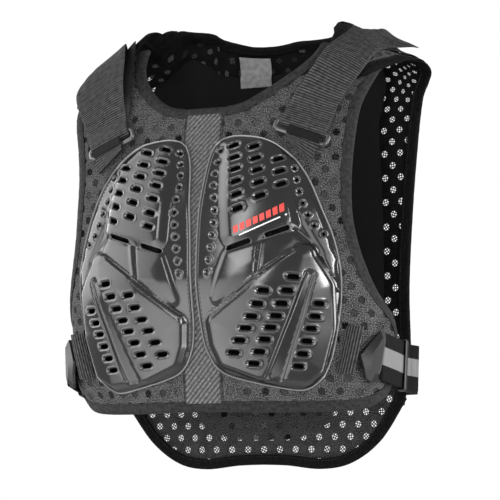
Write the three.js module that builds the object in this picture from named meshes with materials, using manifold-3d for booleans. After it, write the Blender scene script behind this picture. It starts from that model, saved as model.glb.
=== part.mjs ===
import * as THREE from 'three';
import { mergeVertices } from 'three/addons/utils/BufferGeometryUtils.js';
import Module from 'manifold-3d';

// Body protector vest, worn shape. Millimetres, +Z up, the wearer faces -Y, +X is the wearer's left.
// The origin lies between the shoulders, level with the neck side of the shoulder ridge.

// Sections of the body, from the shoulder ridge down: cloth length, height, depth at the front and
// the back centre line, half width and the corner radius between front and side.
const TORSO = [
  { run: 0, z: 0, front: 14, back: 36, half: 205, corner: 9 },
  { run: 23, z: -6, front: -6, back: 58, half: 205, corner: 24 },
  { run: 51, z: -18, front: -28, back: 72, half: 205, corner: 38 },
  { run: 75, z: -36, front: -43, back: 79, half: 204, corner: 48 },
  { run: 107, z: -65, front: -57, back: 84, half: 201, corner: 55 },
  { run: 153, z: -110, front: -67, back: 88, half: 194, corner: 60 },
  { run: 204, z: -160, front: -78, back: 91, half: 188, corner: 62 },
  { run: 264, z: -220, front: -93, back: 94, half: 185, corner: 62 },
  { run: 324, z: -280, front: -95, back: 97, half: 183, corner: 62 },
  { run: 384, z: -340, front: -82, back: 99, half: 181, corner: 60 },
  { run: 444, z: -400, front: -70, back: 100, half: 178, corner: 56 },
  { run: 530, z: -486, front: -62, back: 100, half: 172, corner: 50 },
];

// Shoulder slope, and how far down it fades out.
const SLOPE_START = 110;
const SLOPE = 0.5;
const SLOPE_FADE = 170;

// Round of the back across its width, and the rise of the collar over the wearer's right.
const BACK_RADIUS = 720;
const BACK_FLAT = 0.1;
const BACK_FADE = 110;
const COLLAR = { x: -70, width: 45, rise: 13, fade: 90 };

// The wearer's right shoulder hangs lower: where that begins, over what length it eases in, how steep
// it is, and the heights between which it fades out.
const DROOP = { start: -110, ease: 30, slope: 0.36, low: -158, high: -10 };

// Both shoulders lean to the wearer's left, and the left one sinks: by how much, between which
// distances from the middle that sets in and ends, and between which heights.
const LEAN_RIGHT = { by: 24, from: 30, full: 80, low: -115, high: 0 };
const LEAN_LEFT = { by: 16, from: 50, full: 100, fade: 150, end: 200, low: -110, high: -45 };
const SINK_LEFT = { by: 12, low: -60, high: 0 };

// The cap where cloth crosses the shoulder ridge.
const CAP = { length: 10, height: 2 };

// A line inside the body, from which out is told.
const BODY_CORE = { x: 0.8, y: 15, drop: 30 };

// Cloth layers, as lifts off the body.
const GAP = 0.4;
const SEAM = 0.7;
const PANEL = 6;
const BINDING = { width: 11, wrap: 1 };
const FLAP = { lift: 9.2, rise_from: -70, rise_to: 5, thick: 4.6 };
const STRIP_HALF = 22;

// Steps of the cloth grids and of the bindings.
const FRONT_STEPS = { neck: 5, shoulder: 2, arm: 10, side: 3 };
const BACK_STEPS = { neck: 8, flap: 2, shoulder: 7, side: 5 };

// Seam lines of the front half, where the bindings begin: distance round the body and cloth length.
const FRONT_TOP = [
  { s: STRIP_HALF, run: 154 }, { s: 46, run: 149 }, { s: 70, run: 135 }, { s: 90, run: 117 },
  { s: 104, run: 98 }, { s: 111, run: 80 }, { s: 114, run: 64 }, { s: 145, run: 62 }, { s: 178, run: 66 },
];
const FRONT_NECK_ROWS = 7;
const FRONT_OUTER = [
  { s: 178, run: 66 }, { s: 164, run: 98 }, { s: 151, run: 150 }, { s: 146, run: 205 },
  { s: 149, run: 250 }, { s: 156, run: 285 }, { s: 168, run: 320 }, { s: 186, run: 352 },
  { s: 210, run: 376 }, { s: 219, run: 392 }, { s: 213, run: 414 }, { s: 192, run: 444 },
];
const FRONT_SIDE_ROW = 9;
const FRONT_HEM = [
  { s: STRIP_HALF, run: 459 }, { s: 80, run: 460 }, { s: 140, run: 459 }, { s: 170, run: 455 },
  { s: 192, run: 444 },
];

// Seam lines of the back half: distance from the centre line, and cloth length from the ridge,
// positive towards the front of the shoulder.
const BACK_TOP = [
  { x: 0, t: -58 }, { x: 40, t: -54 }, { x: 76, t: -42 }, { x: 104, t: -22 }, { x: 117, t: 8 },
  { x: 121, t: 45 }, { x: 125, t: 76 }, { x: 138, t: 92 }, { x: 156, t: 94 }, { x: 172, t: 80 },
];
const BACK_NECK_ROWS = 7;
const BACK_OUTER = [
  { x: 172, t: 80 }, { x: 184, t: 45 }, { x: 193, t: 12 }, { x: 197, t: -30 }, { x: 196, t: -70 },
  { x: 188, t: -120 }, { x: 180, t: -180 }, { x: 174, t: -250 }, { x: 170, t: -340 }, { x: 170, t: -420 },
  { x: 163, t: -462 },
];
const BACK_SIDE_ROW = 4;
const BACK_TAIL = [
  { x: 0, t: -523 }, { x: 30, t: -524 }, { x: 70, t: -528 }, { x: 104, t: -522 }, { x: 136, t: -500 },
  { x: 163, t: -462 },
];

// Smooth pad inside the back and plain plate outside it.
const LINING = { thick: 3, seat: 0.9, across: 4, down: 7 };
const LINING_TOP = [{ x: 0, t: -102 }, { x: 80, t: -102 }, { x: 138, t: -110 }];
const LINING_OUTER = [
  { x: 138, t: -110 }, { x: 150, t: -170 }, { x: 152, t: -300 }, { x: 146, t: -400 }, { x: 122, t: -462 },
];
const LINING_LOW = [{ x: 0, t: -472 }, { x: 70, t: -470 }, { x: 122, t: -462 }];
const BACK_PLATE = { thick: 3, crown: 10, edge: 30, seat: 0.6, across: 4, down: 9 };
const BACK_PLATE_TOP = [{ x: 0, t: -128 }, { x: 50, t: -124 }, { x: 92, t: -136 }];
const BACK_PLATE_OUTER = [
  { x: 92, t: -136 }, { x: 122, t: -190 }, { x: 126, t: -300 }, { x: 112, t: -410 }, { x: 78, t: -488 },
];
const BACK_PLATE_LOW = [{ x: 0, t: -506 }, { x: 40, t: -504 }, { x: 78, t: -488 }];

// Chest plates: four edges of the left plate, from the inner top corner.
const PLATE = { lift: 7, thick: 2.6 };
const PLATE_TOP = [
  { s: 16, run: 188 }, { s: 26, run: 181 }, { s: 46, run: 179 }, { s: 78, run: 187 }, { s: 104, run: 207 },
];
const PLATE_OUTER = [
  { s: 104, run: 207 }, { s: 119, run: 229 }, { s: 133, run: 258 }, { s: 146, run: 290 },
  { s: 153, run: 322 }, { s: 153, run: 348 }, { s: 147, run: 380 }, { s: 139, run: 412 },
  { s: 129, run: 434 },
];
const PLATE_LOW = [
  { s: 14, run: 419 }, { s: 26, run: 430 }, { s: 52, run: 439 }, { s: 96, run: 448 }, { s: 114, run: 446 },
  { s: 129, run: 434 },
];
const PLATE_INNER = [
  { s: 16, run: 188 }, { s: 10, run: 205 }, { s: 6, run: 240 }, { s: 3, run: 285 }, { s: 2, run: 350 },
  { s: 5, run: 395 }, { s: 14, run: 419 },
];
const PLATE_GRID = { across: 8, down: 13 };

// Raised fields of a plate: corners in order round, height above the flange and bevel width.
const FIELDS = [
  { rise: 4, bevel: 6, corners: [[28, 188], [62, 187], [90, 208], [110, 284], [36, 303]] },
  { rise: 3, bevel: 4, corners: [[38, 306], [60, 298], [68, 329], [24, 362], [16, 356]] },
  { rise: 3, bevel: 4, corners: [[68, 294], [102, 284], [112, 298], [72, 327]] },
  { rise: 7, bevel: 7, corners: [[112, 303], [123, 317], [70, 431], [58, 437], [22, 417], [14, 381]] },
  { rise: 6, bevel: 6, corners: [[128, 326], [148, 346], [140, 394], [127, 431], [110, 441], [86, 437]] },
];

// Rows of slots: first slot, step to the next, count on the left and the right plate, slot length,
// width and the rise of its outer end.
const SLOT_ROWS = [
  { s: 38, run: 192, ds: 2, drun: 13.7, left: 6, right: 7, length: 15, width: 5.5, rise: 5 },
  { s: 60, run: 194, ds: 2.6, drun: 13.7, left: 5, right: 6, length: 15, width: 5.5, rise: 5 },
  { s: 86, run: 209, ds: 2.4, drun: 14, left: 3, right: 5, length: 14, width: 5.5, rise: 5 },
  { s: 48.5, run: 297.5, ds: 39.5, drun: -13, left: 2, right: 2, length: 26, width: 4, rise: 9 },
  { s: 104, run: 331, ds: -6.5, drun: 12.4, left: 8, right: 8, length: 14, width: 6, rise: -1 },
  { s: 74, run: 343, ds: -7, drun: 12.6, left: 6, right: 6, length: 14, width: 6, rise: -1 },
  { s: 128, run: 356.5, ds: -5, drun: 12.95, left: 6, right: 6, length: 13, width: 5.5, rise: -1 },
];
const HOLE = { diameter: 5, sides: 4 };
const INNER_HOLES = {
  count: 11,
  line: [{ s: 23, run: 196 }, { s: 19, run: 230 }, { s: 22.5, run: 264 }, { s: 15.5, run: 325 }],
};
const OUTER_HOLES = {
  count: 7,
  line: [{ s: 103, run: 218 }, { s: 112, run: 251 }, { s: 125, run: 278 }, { s: 135, run: 287 }],
};

// Shoulder straps: webbing, the line that it follows and the ring that it turns round.
const WEBBING = { width: 50, thick: 1.7 };
const STRAP = {
  ring: { x: 109, t: 187 }, ridge: { x: 170, t: 10 }, back: -14, flap_end: 112, over_flap: 18, at_ring: 8.2,
  layer: 2.3, fold: 4.2, close: 26, steps: 9, fold_steps: 5,
};
const STRAP_FREE = { from: 34, end: 2, lift: 5 };
const RING = { length: 58, depth: 17, wire: 4, corner: 4, corner_steps: 2, sides: 6 };
RING.back = RING.depth / 2 - STRAP.fold;
RING.lift = STRAP.at_ring + STRAP.fold;
const RING_TAB = { from: -14, to: 23, inner: 8.5, outer: 22, dip: -1.6 };

// Side fastening: height on the cloth, tab, buckle, strap and keeper.
const SIDE = { run: 407, width: 50, thick: 1.7, lift: 7.6, strap_in: 2 };
const SIDE_TAB = { from: 148, to: 163, low: 7.1, high: 14.2, steps: 4 };
const BUCKLE = { to: 195, height: 56, thick: 8, chamfer: 10, bevel: 2, seat: 1.6 };
const SIDE_STRAP = {
  sewn_x: 132, hip: 222, around: 7, before: 26, clear: 1.6, layer: 2.4, free_end: 66, free_lift: 18,
  bend: 1.3, steps: 6, turn_steps: 4, back_steps: 12,
};
const KEEPER = { at: 44, wire: 2.5, wide: 6, clear: 0.75 };
const LABEL = { width: 38, height: 35, x: 2, top: -64, thick: 0.8, seat: 1.4 };

const COLOUR = {
  mesh: 0x2b2c2e, binding: 0x1d1d1f, strip: 0x55565a, plate: 0x3a3b3e, webbing: 0x3b3c3e, buckle: 0x5b5d60,
  ring: 0x26272a, lining: 0x151516, label: 0x9b9c9e,
};

// Cutting slots: vertices closer than this are one, and how far a cutter stands past the plate.
const MERGE = 1e-3;
const PIERCE = 4;

const wasm = await Module();
wasm.setup();

const lerp = THREE.MathUtils.lerp;
const smooth = (a, b, value) => THREE.MathUtils.smoothstep(value, a, b);

// Monotone cubic through the rows of a table, so that a profile never overshoots its own rows.
function tableCurve(rows, column) {
  const xs = rows.map((row) => row.run);
  const ys = rows.map((row) => row[column]);
  const slopes = ys.slice(1).map((y, i) => (y - ys[i]) / (xs[i + 1] - xs[i]));
  const tangents = ys.map((_, i) => {
    if (i === 0) return slopes[0];
    if (i === ys.length - 1) return slopes[i - 1];
    const product = slopes[i - 1] * slopes[i];
    return product <= 0 ? 0 : 2 * product / (slopes[i - 1] + slopes[i]);
  });
  return (value) => {
    const x = THREE.MathUtils.clamp(value, xs[0], xs[xs.length - 1]);
    let i = 0;
    while (i < xs.length - 2 && x > xs[i + 1]) i += 1;
    const h = xs[i + 1] - xs[i];
    const k = (x - xs[i]) / h;
    const a = ys[i] * (1 + 2 * k) * (1 - k) ** 2 + ys[i + 1] * k * k * (3 - 2 * k);
    return a + h * (tangents[i] * k * (1 - k) ** 2 + tangents[i + 1] * k * k * (k - 1));
  };
}

const profile = {};
for (const column of ['z', 'front', 'back', 'half', 'corner']) profile[column] = tableCurve(TORSO, column);

// Height of the cloth at a distance from the centre plane.
function heightAt(x, run) {
  const fade = 1 - smooth(0, SLOPE_FADE, run);
  return profile.z(run) - SLOPE * Math.max(Math.abs(x) - SLOPE_START, 0) * fade;
}

// Point of the front and side: s is the distance round from the front centre line.
function frontPoint(s, run) {
  const corner = profile.corner(run);
  const half = profile.half(run) - corner;
  const front = profile.front(run);
  const middle = (front + profile.back(run)) / 2;
  const deep = middle - front;
  const radius = (half ** 2 + deep ** 2 - corner ** 2) / (2 * (deep - corner));
  const turn = Math.asin(half / (radius - corner));
  const around = Math.abs(s);
  let x = radius * Math.sin(around / radius);
  let y = front + radius - radius * Math.cos(around / radius);
  if (around > radius * turn) {
    const angle = turn + (around - radius * turn) / corner;
    x = half + corner * Math.sin(angle);
    y = middle - corner * Math.cos(angle);
  }
  return new THREE.Vector3(Math.sign(s) * x, y, heightAt(x, run));
}

// Point of the back.
function backPoint(x, run) {
  const bend = BACK_FLAT + (1 - BACK_FLAT) * smooth(0, BACK_FADE, run);
  const bump = Math.exp(-(((x - COLLAR.x) / COLLAR.width) ** 2));
  const rise = COLLAR.rise * bump * (1 - smooth(0, COLLAR.fade, run));
  return new THREE.Vector3(x, profile.back(run) - bend * x * x / (2 * BACK_RADIUS), heightAt(x, run) + rise);
}

// Point of cloth that crosses the shoulder ridge: t runs from the back (negative) to the front.
function overPoint(x, t) {
  if (t >= CAP.length) return frontPoint(x, t - CAP.length);
  if (t <= -CAP.length) return backPoint(x, -t - CAP.length);
  const front = frontPoint(x, 0);
  const back = backPoint(x, 0);
  const angle = t / CAP.length * Math.PI / 2;
  const point = front.clone().lerp(back, (1 - Math.sin(angle)) / 2);
  point.z += CAP.height * Math.cos(angle);
  return point;
}

// Spaced points of a smooth line through the rows of a table.
function spaced(rows, steps, first = 's', second = 'run') {
  const line = new THREE.SplineCurve(rows.map((row) => new THREE.Vector2(row[first], row[second])));
  return line.getSpacedPoints(steps);
}

// Points of a patch between four edges: top and low run across, inner and outer run down.
function patchPoints({ top, low, inner, outer }) {
  const across = top.length - 1;
  const down = inner.length - 1;
  const mix = (axis, i, j) => {
    const u = i / across;
    const v = j / down;
    const ruled = lerp(top[i][axis], low[i][axis], v) + lerp(inner[j][axis], outer[j][axis], u);
    const above = lerp(top[0][axis], top[across][axis], u);
    const beneath = lerp(low[0][axis], low[across][axis], u);
    return ruled - lerp(above, beneath, v);
  };
  return inner.map((_, j) => top.map((__, i) => new THREE.Vector2(mix('x', i, j), mix('y', i, j))));
}

// A knot of a cloth or shell grid: its point on the body, and the lifts of its two faces.
const knot = (point, below, above) => ({ point, below, above });

// Unit normals of a grid of knots, from their neighbours.
function gridNormals(grid) {
  return grid.map((row, j) => row.map((_, i) => {
    const before = grid[Math.max(j - 1, 0)][i].point;
    const after = grid[Math.min(j + 1, grid.length - 1)][i].point;
    const left = row[Math.max(i - 1, 0)].point;
    const right = row[Math.min(i + 1, row.length - 1)].point;
    return after.clone().sub(before).cross(right.clone().sub(left)).normalize();
  }));
}

// The grid with its normals pointing away from the body.
function facingOut(grid) {
  const normals = gridNormals(grid);
  let outward = 0;
  grid.forEach((row, j) => row.forEach(({ point }, i) => {
    const inside = new THREE.Vector3(point.x * BODY_CORE.x, BODY_CORE.y, point.z - BODY_CORE.drop);
    outward += normals[j][i].dot(point.clone().sub(inside));
  }));
  return outward < 0 ? grid.map((row) => [...row].reverse()) : grid;
}

// Closed solid between the two lifts of a grid of knots.
function sheetSolid(knots) {
  const grid = facingOut(knots);
  const normals = gridNormals(grid);
  const rows = grid.length;
  const columns = grid[0].length;
  const positions = [];
  for (const face of ['below', 'above']) {
    grid.forEach((row, j) => row.forEach((entry, i) => {
      positions.push(...entry.point.clone().addScaledVector(normals[j][i], entry[face]).toArray());
    }));
  }
  const index = [];
  const at = (layer, j, i) => layer * rows * columns + j * columns + i;
  const corner = (k) => new THREE.Vector3().fromArray(positions, 3 * k);
  const between = (a, b) => corner(a).distanceTo(corner(b));
  // Each four-sided face is split along its shorter diagonal.
  const quad = (a, b, c, d) => {
    if (between(a, c) <= between(b, d)) index.push(a, b, c, a, c, d);
    else index.push(a, b, d, b, c, d);
  };
  for (let j = 0; j < rows - 1; j += 1) {
    for (let i = 0; i < columns - 1; i += 1) {
      quad(at(1, j, i), at(1, j + 1, i), at(1, j + 1, i + 1), at(1, j, i + 1));
      quad(at(0, j, i), at(0, j, i + 1), at(0, j + 1, i + 1), at(0, j + 1, i));
    }
  }
  for (let i = 0; i < columns - 1; i += 1) {
    quad(at(1, 0, i), at(1, 0, i + 1), at(0, 0, i + 1), at(0, 0, i));
    quad(at(1, rows - 1, i + 1), at(1, rows - 1, i), at(0, rows - 1, i), at(0, rows - 1, i + 1));
  }
  for (let j = 0; j < rows - 1; j += 1) {
    quad(at(1, j + 1, 0), at(1, j, 0), at(0, j, 0), at(0, j + 1, 0));
    const end = columns - 1;
    quad(at(1, j, end), at(1, j + 1, end), at(0, j + 1, end), at(0, j, end));
  }
  return solidFrom(positions, index);
}

function solidFrom(positions, index) {
  const geometry = new THREE.BufferGeometry();
  geometry.setAttribute('position', new THREE.Float32BufferAttribute(positions, 3));
  geometry.setIndex(index);
  if (signedVolume(geometry) < 0) turnInsideOut(geometry);
  return geometry;
}

function signedVolume(geometry) {
  const position = geometry.getAttribute('position');
  const index = geometry.getIndex();
  const corner = [0, 1, 2].map(() => new THREE.Vector3());
  let volume = 0;
  for (let i = 0; i < index.count; i += 3) {
    corner.forEach((point, k) => point.fromBufferAttribute(position, index.getX(i + k)));
    volume += corner[0].dot(corner[1].clone().cross(corner[2])) / 6;
  }
  return volume;
}

function turnInsideOut(geometry) {
  const index = geometry.getIndex();
  for (let i = 0; i < index.count; i += 3) {
    const second = index.getX(i + 1);
    index.setX(i + 1, index.getX(i + 2));
    index.setX(i + 2, second);
  }
}

function mirrored(geometry) {
  const copy = geometry.clone();
  copy.applyMatrix4(new THREE.Matrix4().makeScale(-1, 1, 1));
  turnInsideOut(copy);
  return copy;
}

// Front halves: seam lines and the grid between them.
const FRONT = {
  neck: spaced(FRONT_TOP.slice(0, FRONT_NECK_ROWS), FRONT_STEPS.neck),
  shoulder: spaced(FRONT_TOP.slice(FRONT_NECK_ROWS - 1), FRONT_STEPS.shoulder),
  arm: spaced(FRONT_OUTER.slice(0, FRONT_SIDE_ROW + 1), FRONT_STEPS.arm),
  side: spaced(FRONT_OUTER.slice(FRONT_SIDE_ROW), FRONT_STEPS.side),
  hem: spaced(FRONT_HEM, FRONT_STEPS.neck + FRONT_STEPS.shoulder),
};
FRONT.centre = spaced([FRONT_TOP[0], FRONT_HEM[0]], FRONT_STEPS.arm + FRONT_STEPS.side);

const joined = (first, second) => [...first, ...second.slice(1)];

function frontHalf() {
  const edges = {
    top: joined(FRONT.neck, FRONT.shoulder),
    low: FRONT.hem,
    inner: FRONT.centre,
    outer: joined(FRONT.arm, FRONT.side),
  };
  return sheetSolid(patchPoints(edges).map((row) => row.map((p) => knot(frontPoint(p.x, p.y), 0, PANEL))));
}

function centreStrip() {
  const half = STRIP_HALF - GAP;
  const row = (run) => [-half, 0, half].map((s) => knot(frontPoint(s, run), 0, PANEL));
  return sheetSolid(FRONT.centre.map(({ y }) => row(y)));
}

// Binding along a seam line: from the seam outwards, wrapped over both faces of the cloth.
function binding(points, side, place, lifts) {
  const rows = points.map((point, k) => {
    const before = points[Math.max(k - 1, 0)];
    const after = points[Math.min(k + 1, points.length - 1)];
    const along = after.clone().sub(before).normalize();
    const out = new THREE.Vector2(along.y, -along.x).multiplyScalar(side);
    const { below, above } = lifts(point);
    const wrap = BINDING.wrap;
    return [
      knot(place(point.clone().addScaledVector(out, SEAM)), below - wrap, above + wrap),
      knot(place(point.clone().addScaledVector(out, BINDING.width)), below + wrap, above - wrap),
    ];
  });
  return sheetSolid(rows);
}

const onFront = (p) => frontPoint(p.x, p.y);
const onBack = (p) => overPoint(p.x, p.y);
const flat = () => ({ below: 0, above: PANEL });
const flipped = (points) => points.map((p) => new THREE.Vector2(-p.x, p.y)).reverse();

// Lifts of the back cloth: on the body behind, above the front cloth where the flap lies over it.
function flapLifts(p) {
  const rise = smooth(FLAP.rise_from, FLAP.rise_to, p.y);
  return { below: FLAP.lift * rise, above: lerp(PANEL, FLAP.lift + FLAP.thick, rise) };
}

function neckBinding() {
  return binding([...flipped(FRONT.neck), ...FRONT.neck], 1, onFront, flat);
}

function armBinding() {
  return binding(FRONT.arm, 1, onFront, flat);
}

function hemBinding() {
  const side = FRONT.side.map((p) => p.clone());
  side[0].y += GAP;
  const half = [...FRONT.hem, ...side.reverse().slice(1)];
  return binding([...flipped(half), ...half], -1, onFront, flat);
}

// Back cloth: one half mirrored about the centre line.
const spacedBack = (rows, steps) => spaced(rows, steps, 'x', 't');
const BACK = {
  neck: spacedBack(BACK_TOP.slice(0, BACK_NECK_ROWS), BACK_STEPS.neck),
  flap: spacedBack(BACK_TOP.slice(BACK_NECK_ROWS - 1), BACK_STEPS.flap),
  shoulder: spacedBack(BACK_OUTER.slice(0, BACK_SIDE_ROW + 1), BACK_STEPS.shoulder),
  side: spacedBack(BACK_OUTER.slice(BACK_SIDE_ROW), BACK_STEPS.side),
  tail: spacedBack(BACK_TAIL, BACK_STEPS.neck + BACK_STEPS.flap),
  centre: spacedBack([BACK_TOP[0], BACK_TAIL[0]], BACK_STEPS.shoulder + BACK_STEPS.side),
};
BACK.outer = joined(BACK.shoulder, BACK.side);

function wholeBack(edges, lifts) {
  const points = patchPoints(edges);
  return points.map((row, j) => {
    const left = row.map((p, i) => ({ p, ...lifts(p, i / (row.length - 1), j / (points.length - 1)) }));
    const right = left.slice(1).map((entry) => ({ ...entry, p: new THREE.Vector2(-entry.p.x, entry.p.y) }));
    return [...right.reverse(), ...left].map(({ p, below, above }) => knot(onBack(p), below, above));
  });
}

function backPanel() {
  const edges = { top: joined(BACK.neck, BACK.flap), low: BACK.tail, inner: BACK.centre, outer: BACK.outer };
  return sheetSolid(wholeBack(edges, flapLifts));
}

// A plain layer of the back between its top, outer and low lines.
function backLayer(top, outer, low, { across, down }, lifts) {
  const edges = {
    top: spacedBack(top, across),
    outer: spacedBack(outer, down),
    low: spacedBack(low, across),
    inner: spacedBack([top[0], low[0]], down),
  };
  return sheetSolid(wholeBack(edges, lifts));
}

function backLining() {
  const lifts = () => ({ below: -LINING.seat - LINING.thick, above: -LINING.seat });
  return backLayer(LINING_TOP, LINING_OUTER, LINING_LOW, LINING, lifts);
}

function backPlate() {
  const wide = BACK_PLATE_OUTER[2].x;
  const high = BACK_PLATE_TOP[0].t - BACK_PLATE_LOW[0].t;
  const lifts = (p, u, v) => {
    const side = smooth(0, BACK_PLATE.edge, (1 - u) * wide);
    const ends = smooth(0, BACK_PLATE.edge, Math.min(v, 1 - v) * high);
    const lift = PANEL + BACK_PLATE.seat + BACK_PLATE.crown * side * ends;
    return { below: lift, above: lift + BACK_PLATE.thick };
  };
  return backLayer(BACK_PLATE_TOP, BACK_PLATE_OUTER, BACK_PLATE_LOW, BACK_PLATE, lifts);
}

function backNeckBinding() {
  return binding([...flipped(BACK.neck), ...BACK.neck.slice(1)], -1, onBack, flapLifts);
}

function flapAndSideBinding() {
  const flap = BACK.flap.map((p) => p.clone());
  flap[0].y += GAP;
  return binding(joined(flap, BACK.outer), -1, onBack, flapLifts);
}

function tailBinding() {
  const half = BACK.tail.map((p) => p.clone());
  half.at(-1).add(new THREE.Vector2(-GAP, -GAP));
  return binding([...flipped(half), ...half.slice(1)], 1, onBack, flapLifts);
}

// Height of a plate above its flange: convex fields with bevelled edges.
function fieldHeight(s, run) {
  let height = 0;
  for (const { rise, bevel, corners } of FIELDS) {
    const area = corners.reduce((sum, [x, y], k) => {
      const [nextX, nextY] = corners[(k + 1) % corners.length];
      return sum + x * nextY - nextX * y;
    }, 0);
    const depth = Math.min(...corners.map(([x, y], k) => {
      const [nextX, nextY] = corners[(k + 1) % corners.length];
      const cross = (nextX - x) * (run - y) - (nextY - y) * (s - x);
      return Math.sign(area) * cross / Math.hypot(nextX - x, nextY - y);
    }));
    height = Math.max(height, rise * smooth(0, bevel, depth));
  }
  return height;
}

function toManifold(geometry) {
  const merged = mergeVertices(geometry, MERGE);
  const vertProperties = new Float32Array(merged.getAttribute('position').array);
  const triVerts = new Uint32Array(merged.getIndex().array);
  return new wasm.Manifold(new wasm.Mesh({ numProp: 3, vertProperties, triVerts }));
}

function fromManifold(solid) {
  const mesh = solid.getMesh();
  const geometry = new THREE.BufferGeometry();
  geometry.setAttribute('position', new THREE.Float32BufferAttribute(mesh.vertProperties, 3));
  geometry.setIndex(Array.from(mesh.triVerts));
  return geometry;
}

// Straight prism through the plate, with its outline given round a centre on the body.
function piercing(centre, outline) {
  const ahead = frontPoint(centre.x + 1, centre.y).sub(frontPoint(centre.x - 1, centre.y));
  const down = frontPoint(centre.x, centre.y + 1).sub(frontPoint(centre.x, centre.y - 1));
  const normal = down.cross(ahead).normalize();
  const count = outline.length;
  const positions = [];
  for (const lift of [PLATE.lift - PIERCE, PLATE.lift + PLATE.thick + FIELDS[3].rise + PIERCE]) {
    for (const p of outline) {
      const point = frontPoint(centre.x + p.x, centre.y + p.y).addScaledVector(normal, lift);
      positions.push(...point.toArray());
    }
  }
  const index = [];
  for (let k = 0; k < count; k += 1) {
    const next = (k + 1) % count;
    index.push(k, next, count + next, k, count + next, count + k);
  }
  for (let k = 1; k < count - 1; k += 1) {
    index.push(0, k + 1, k);
    index.push(count, count + k, count + k + 1);
  }
  return toManifold(solidFrom(positions, index));
}

// Long slot; its outer end lies higher by the row's rise.
function slotOutline({ length, width, rise }) {
  const along = new THREE.Vector2(length, -rise).normalize();
  const across = new THREE.Vector2(-along.y, along.x);
  const end = length / 2;
  const side = width / 2;
  return [[-end, -side], [end, -side], [end, side], [-end, side]]
    .map(([a, b]) => along.clone().multiplyScalar(a).addScaledVector(across, b));
}

function holeOutline() {
  return Array.from({ length: HOLE.sides }, (_, k) => {
    const angle = 2 * Math.PI * k / HOLE.sides;
    return new THREE.Vector2(Math.cos(angle), Math.sin(angle)).multiplyScalar(HOLE.diameter / 2);
  });
}

function chestPlate(side) {
  const edges = {
    top: spaced(PLATE_TOP, PLATE_GRID.across),
    outer: spaced(PLATE_OUTER, PLATE_GRID.down),
    low: spaced(PLATE_LOW, PLATE_GRID.across),
    inner: spaced(PLATE_INNER, PLATE_GRID.down),
  };
  const grid = patchPoints(edges).map((row) => row.map((p) => {
    const lift = PLATE.lift + fieldHeight(p.x, p.y);
    return knot(onFront(p), lift, lift + PLATE.thick);
  }));
  const cutters = [];
  for (const row of SLOT_ROWS) {
    for (let k = 0; k < row[side]; k += 1) {
      cutters.push(piercing(new THREE.Vector2(row.s + k * row.ds, row.run + k * row.drun), slotOutline(row)));
    }
  }
  for (const { count, line } of [INNER_HOLES, OUTER_HOLES]) {
    for (const p of spaced(line, count - 1)) cutters.push(piercing(p, holeOutline()));
  }
  return fromManifold(toManifold(sheetSolid(grid)).subtract(wasm.Manifold.union(cutters)));
}

// Webbing along rows of points: each row lies across its width.
function webbingSolid(rows, thick) {
  return sheetSolid(rows.map((row) => row.map((point) => knot(point, -thick / 2, thick / 2))));
}

// Frame of a strap on the shoulder: distance along it from the ring, and offset across it.
function strapFrame() {
  const start = new THREE.Vector2(STRAP.ring.x, STRAP.ring.t);
  const along = new THREE.Vector2(STRAP.ridge.x, STRAP.ridge.t).sub(start).normalize();
  const across = new THREE.Vector2(-along.y, along.x);
  const at = (a, w) => onBack(start.clone().addScaledVector(along, a).addScaledVector(across, w));
  const toLength = (t) => (t - STRAP.ring.t) / along.y;
  const lifted = (a, w, lift) => {
    const ahead = at(a + 1, w).sub(at(a - 1, w));
    const aside = at(a, w - 1).sub(at(a, w + 1));
    return at(a, w).addScaledVector(ahead.cross(aside).normalize(), lift);
  };
  return { lifted, toLength };
}

function shoulderStrap() {
  const { lifted, toLength } = strapFrame();
  const columns = [-WEBBING.width / 2, 0, WEBBING.width / 2];
  const flapEnd = toLength(STRAP.flap_end);
  const lower = (a) => lerp(STRAP.at_ring, STRAP.over_flap, smooth(0, flapEnd, a));
  const inner = [];
  const outer = [];
  for (let k = 0; k <= STRAP.steps; k += 1) {
    const a = lerp(STRAP.fold, toLength(STRAP.back), k / STRAP.steps);
    inner.push(columns.map((w) => lifted(a, w, lower(a))));
    const b = lerp(STRAP.fold, toLength(STRAP_FREE.end), k / STRAP.steps);
    const loose = STRAP_FREE.lift * smooth(toLength(STRAP_FREE.from), toLength(STRAP_FREE.end), b);
    const spread = lerp(2 * STRAP.fold, STRAP.layer, smooth(STRAP.fold, STRAP.close, b));
    outer.push(columns.map((w) => lifted(b, w, lower(b) + spread + loose)));
  }
  const fold = [];
  for (let k = 1; k < STRAP.fold_steps; k += 1) {
    const angle = Math.PI * k / STRAP.fold_steps;
    const a = STRAP.fold * (1 - Math.sin(angle));
    fold.push(columns.map((w) => lifted(a, w, lower(0) + STRAP.fold * (1 - Math.cos(angle)))));
  }
  return webbingSolid([...inner.reverse(), ...fold, ...outer], WEBBING.thick);
}

// Closed loop of round wire through points in one plane.
function wireLoop(points, normal, radius, sides) {
  const count = points.length;
  const centre = points.reduce((sum, p) => sum.add(p), new THREE.Vector3()).divideScalar(count);
  const positions = [];
  points.forEach((point, k) => {
    const along = points[(k + 1) % count].clone().sub(points[(k + count - 1) % count]).normalize();
    const out = along.cross(normal).normalize();
    if (out.dot(point.clone().sub(centre)) < 0) out.negate();
    for (let m = 0; m < sides; m += 1) {
      const angle = 2 * Math.PI * (m + 0.5) / sides;
      const ring = point.clone().addScaledVector(out, radius * Math.cos(angle));
      positions.push(...ring.addScaledVector(normal, radius * Math.sin(angle)).toArray());
    }
  });
  const index = [];
  for (let k = 0; k < count; k += 1) {
    for (let m = 0; m < sides; m += 1) {
      const a = k * sides + m;
      const b = k * sides + (m + 1) % sides;
      const c = (k + 1) % count * sides + (m + 1) % sides;
      const d = (k + 1) % count * sides + m;
      index.push(a, b, c, a, c, d);
    }
  }
  return solidFrom(positions, index);
}

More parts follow.
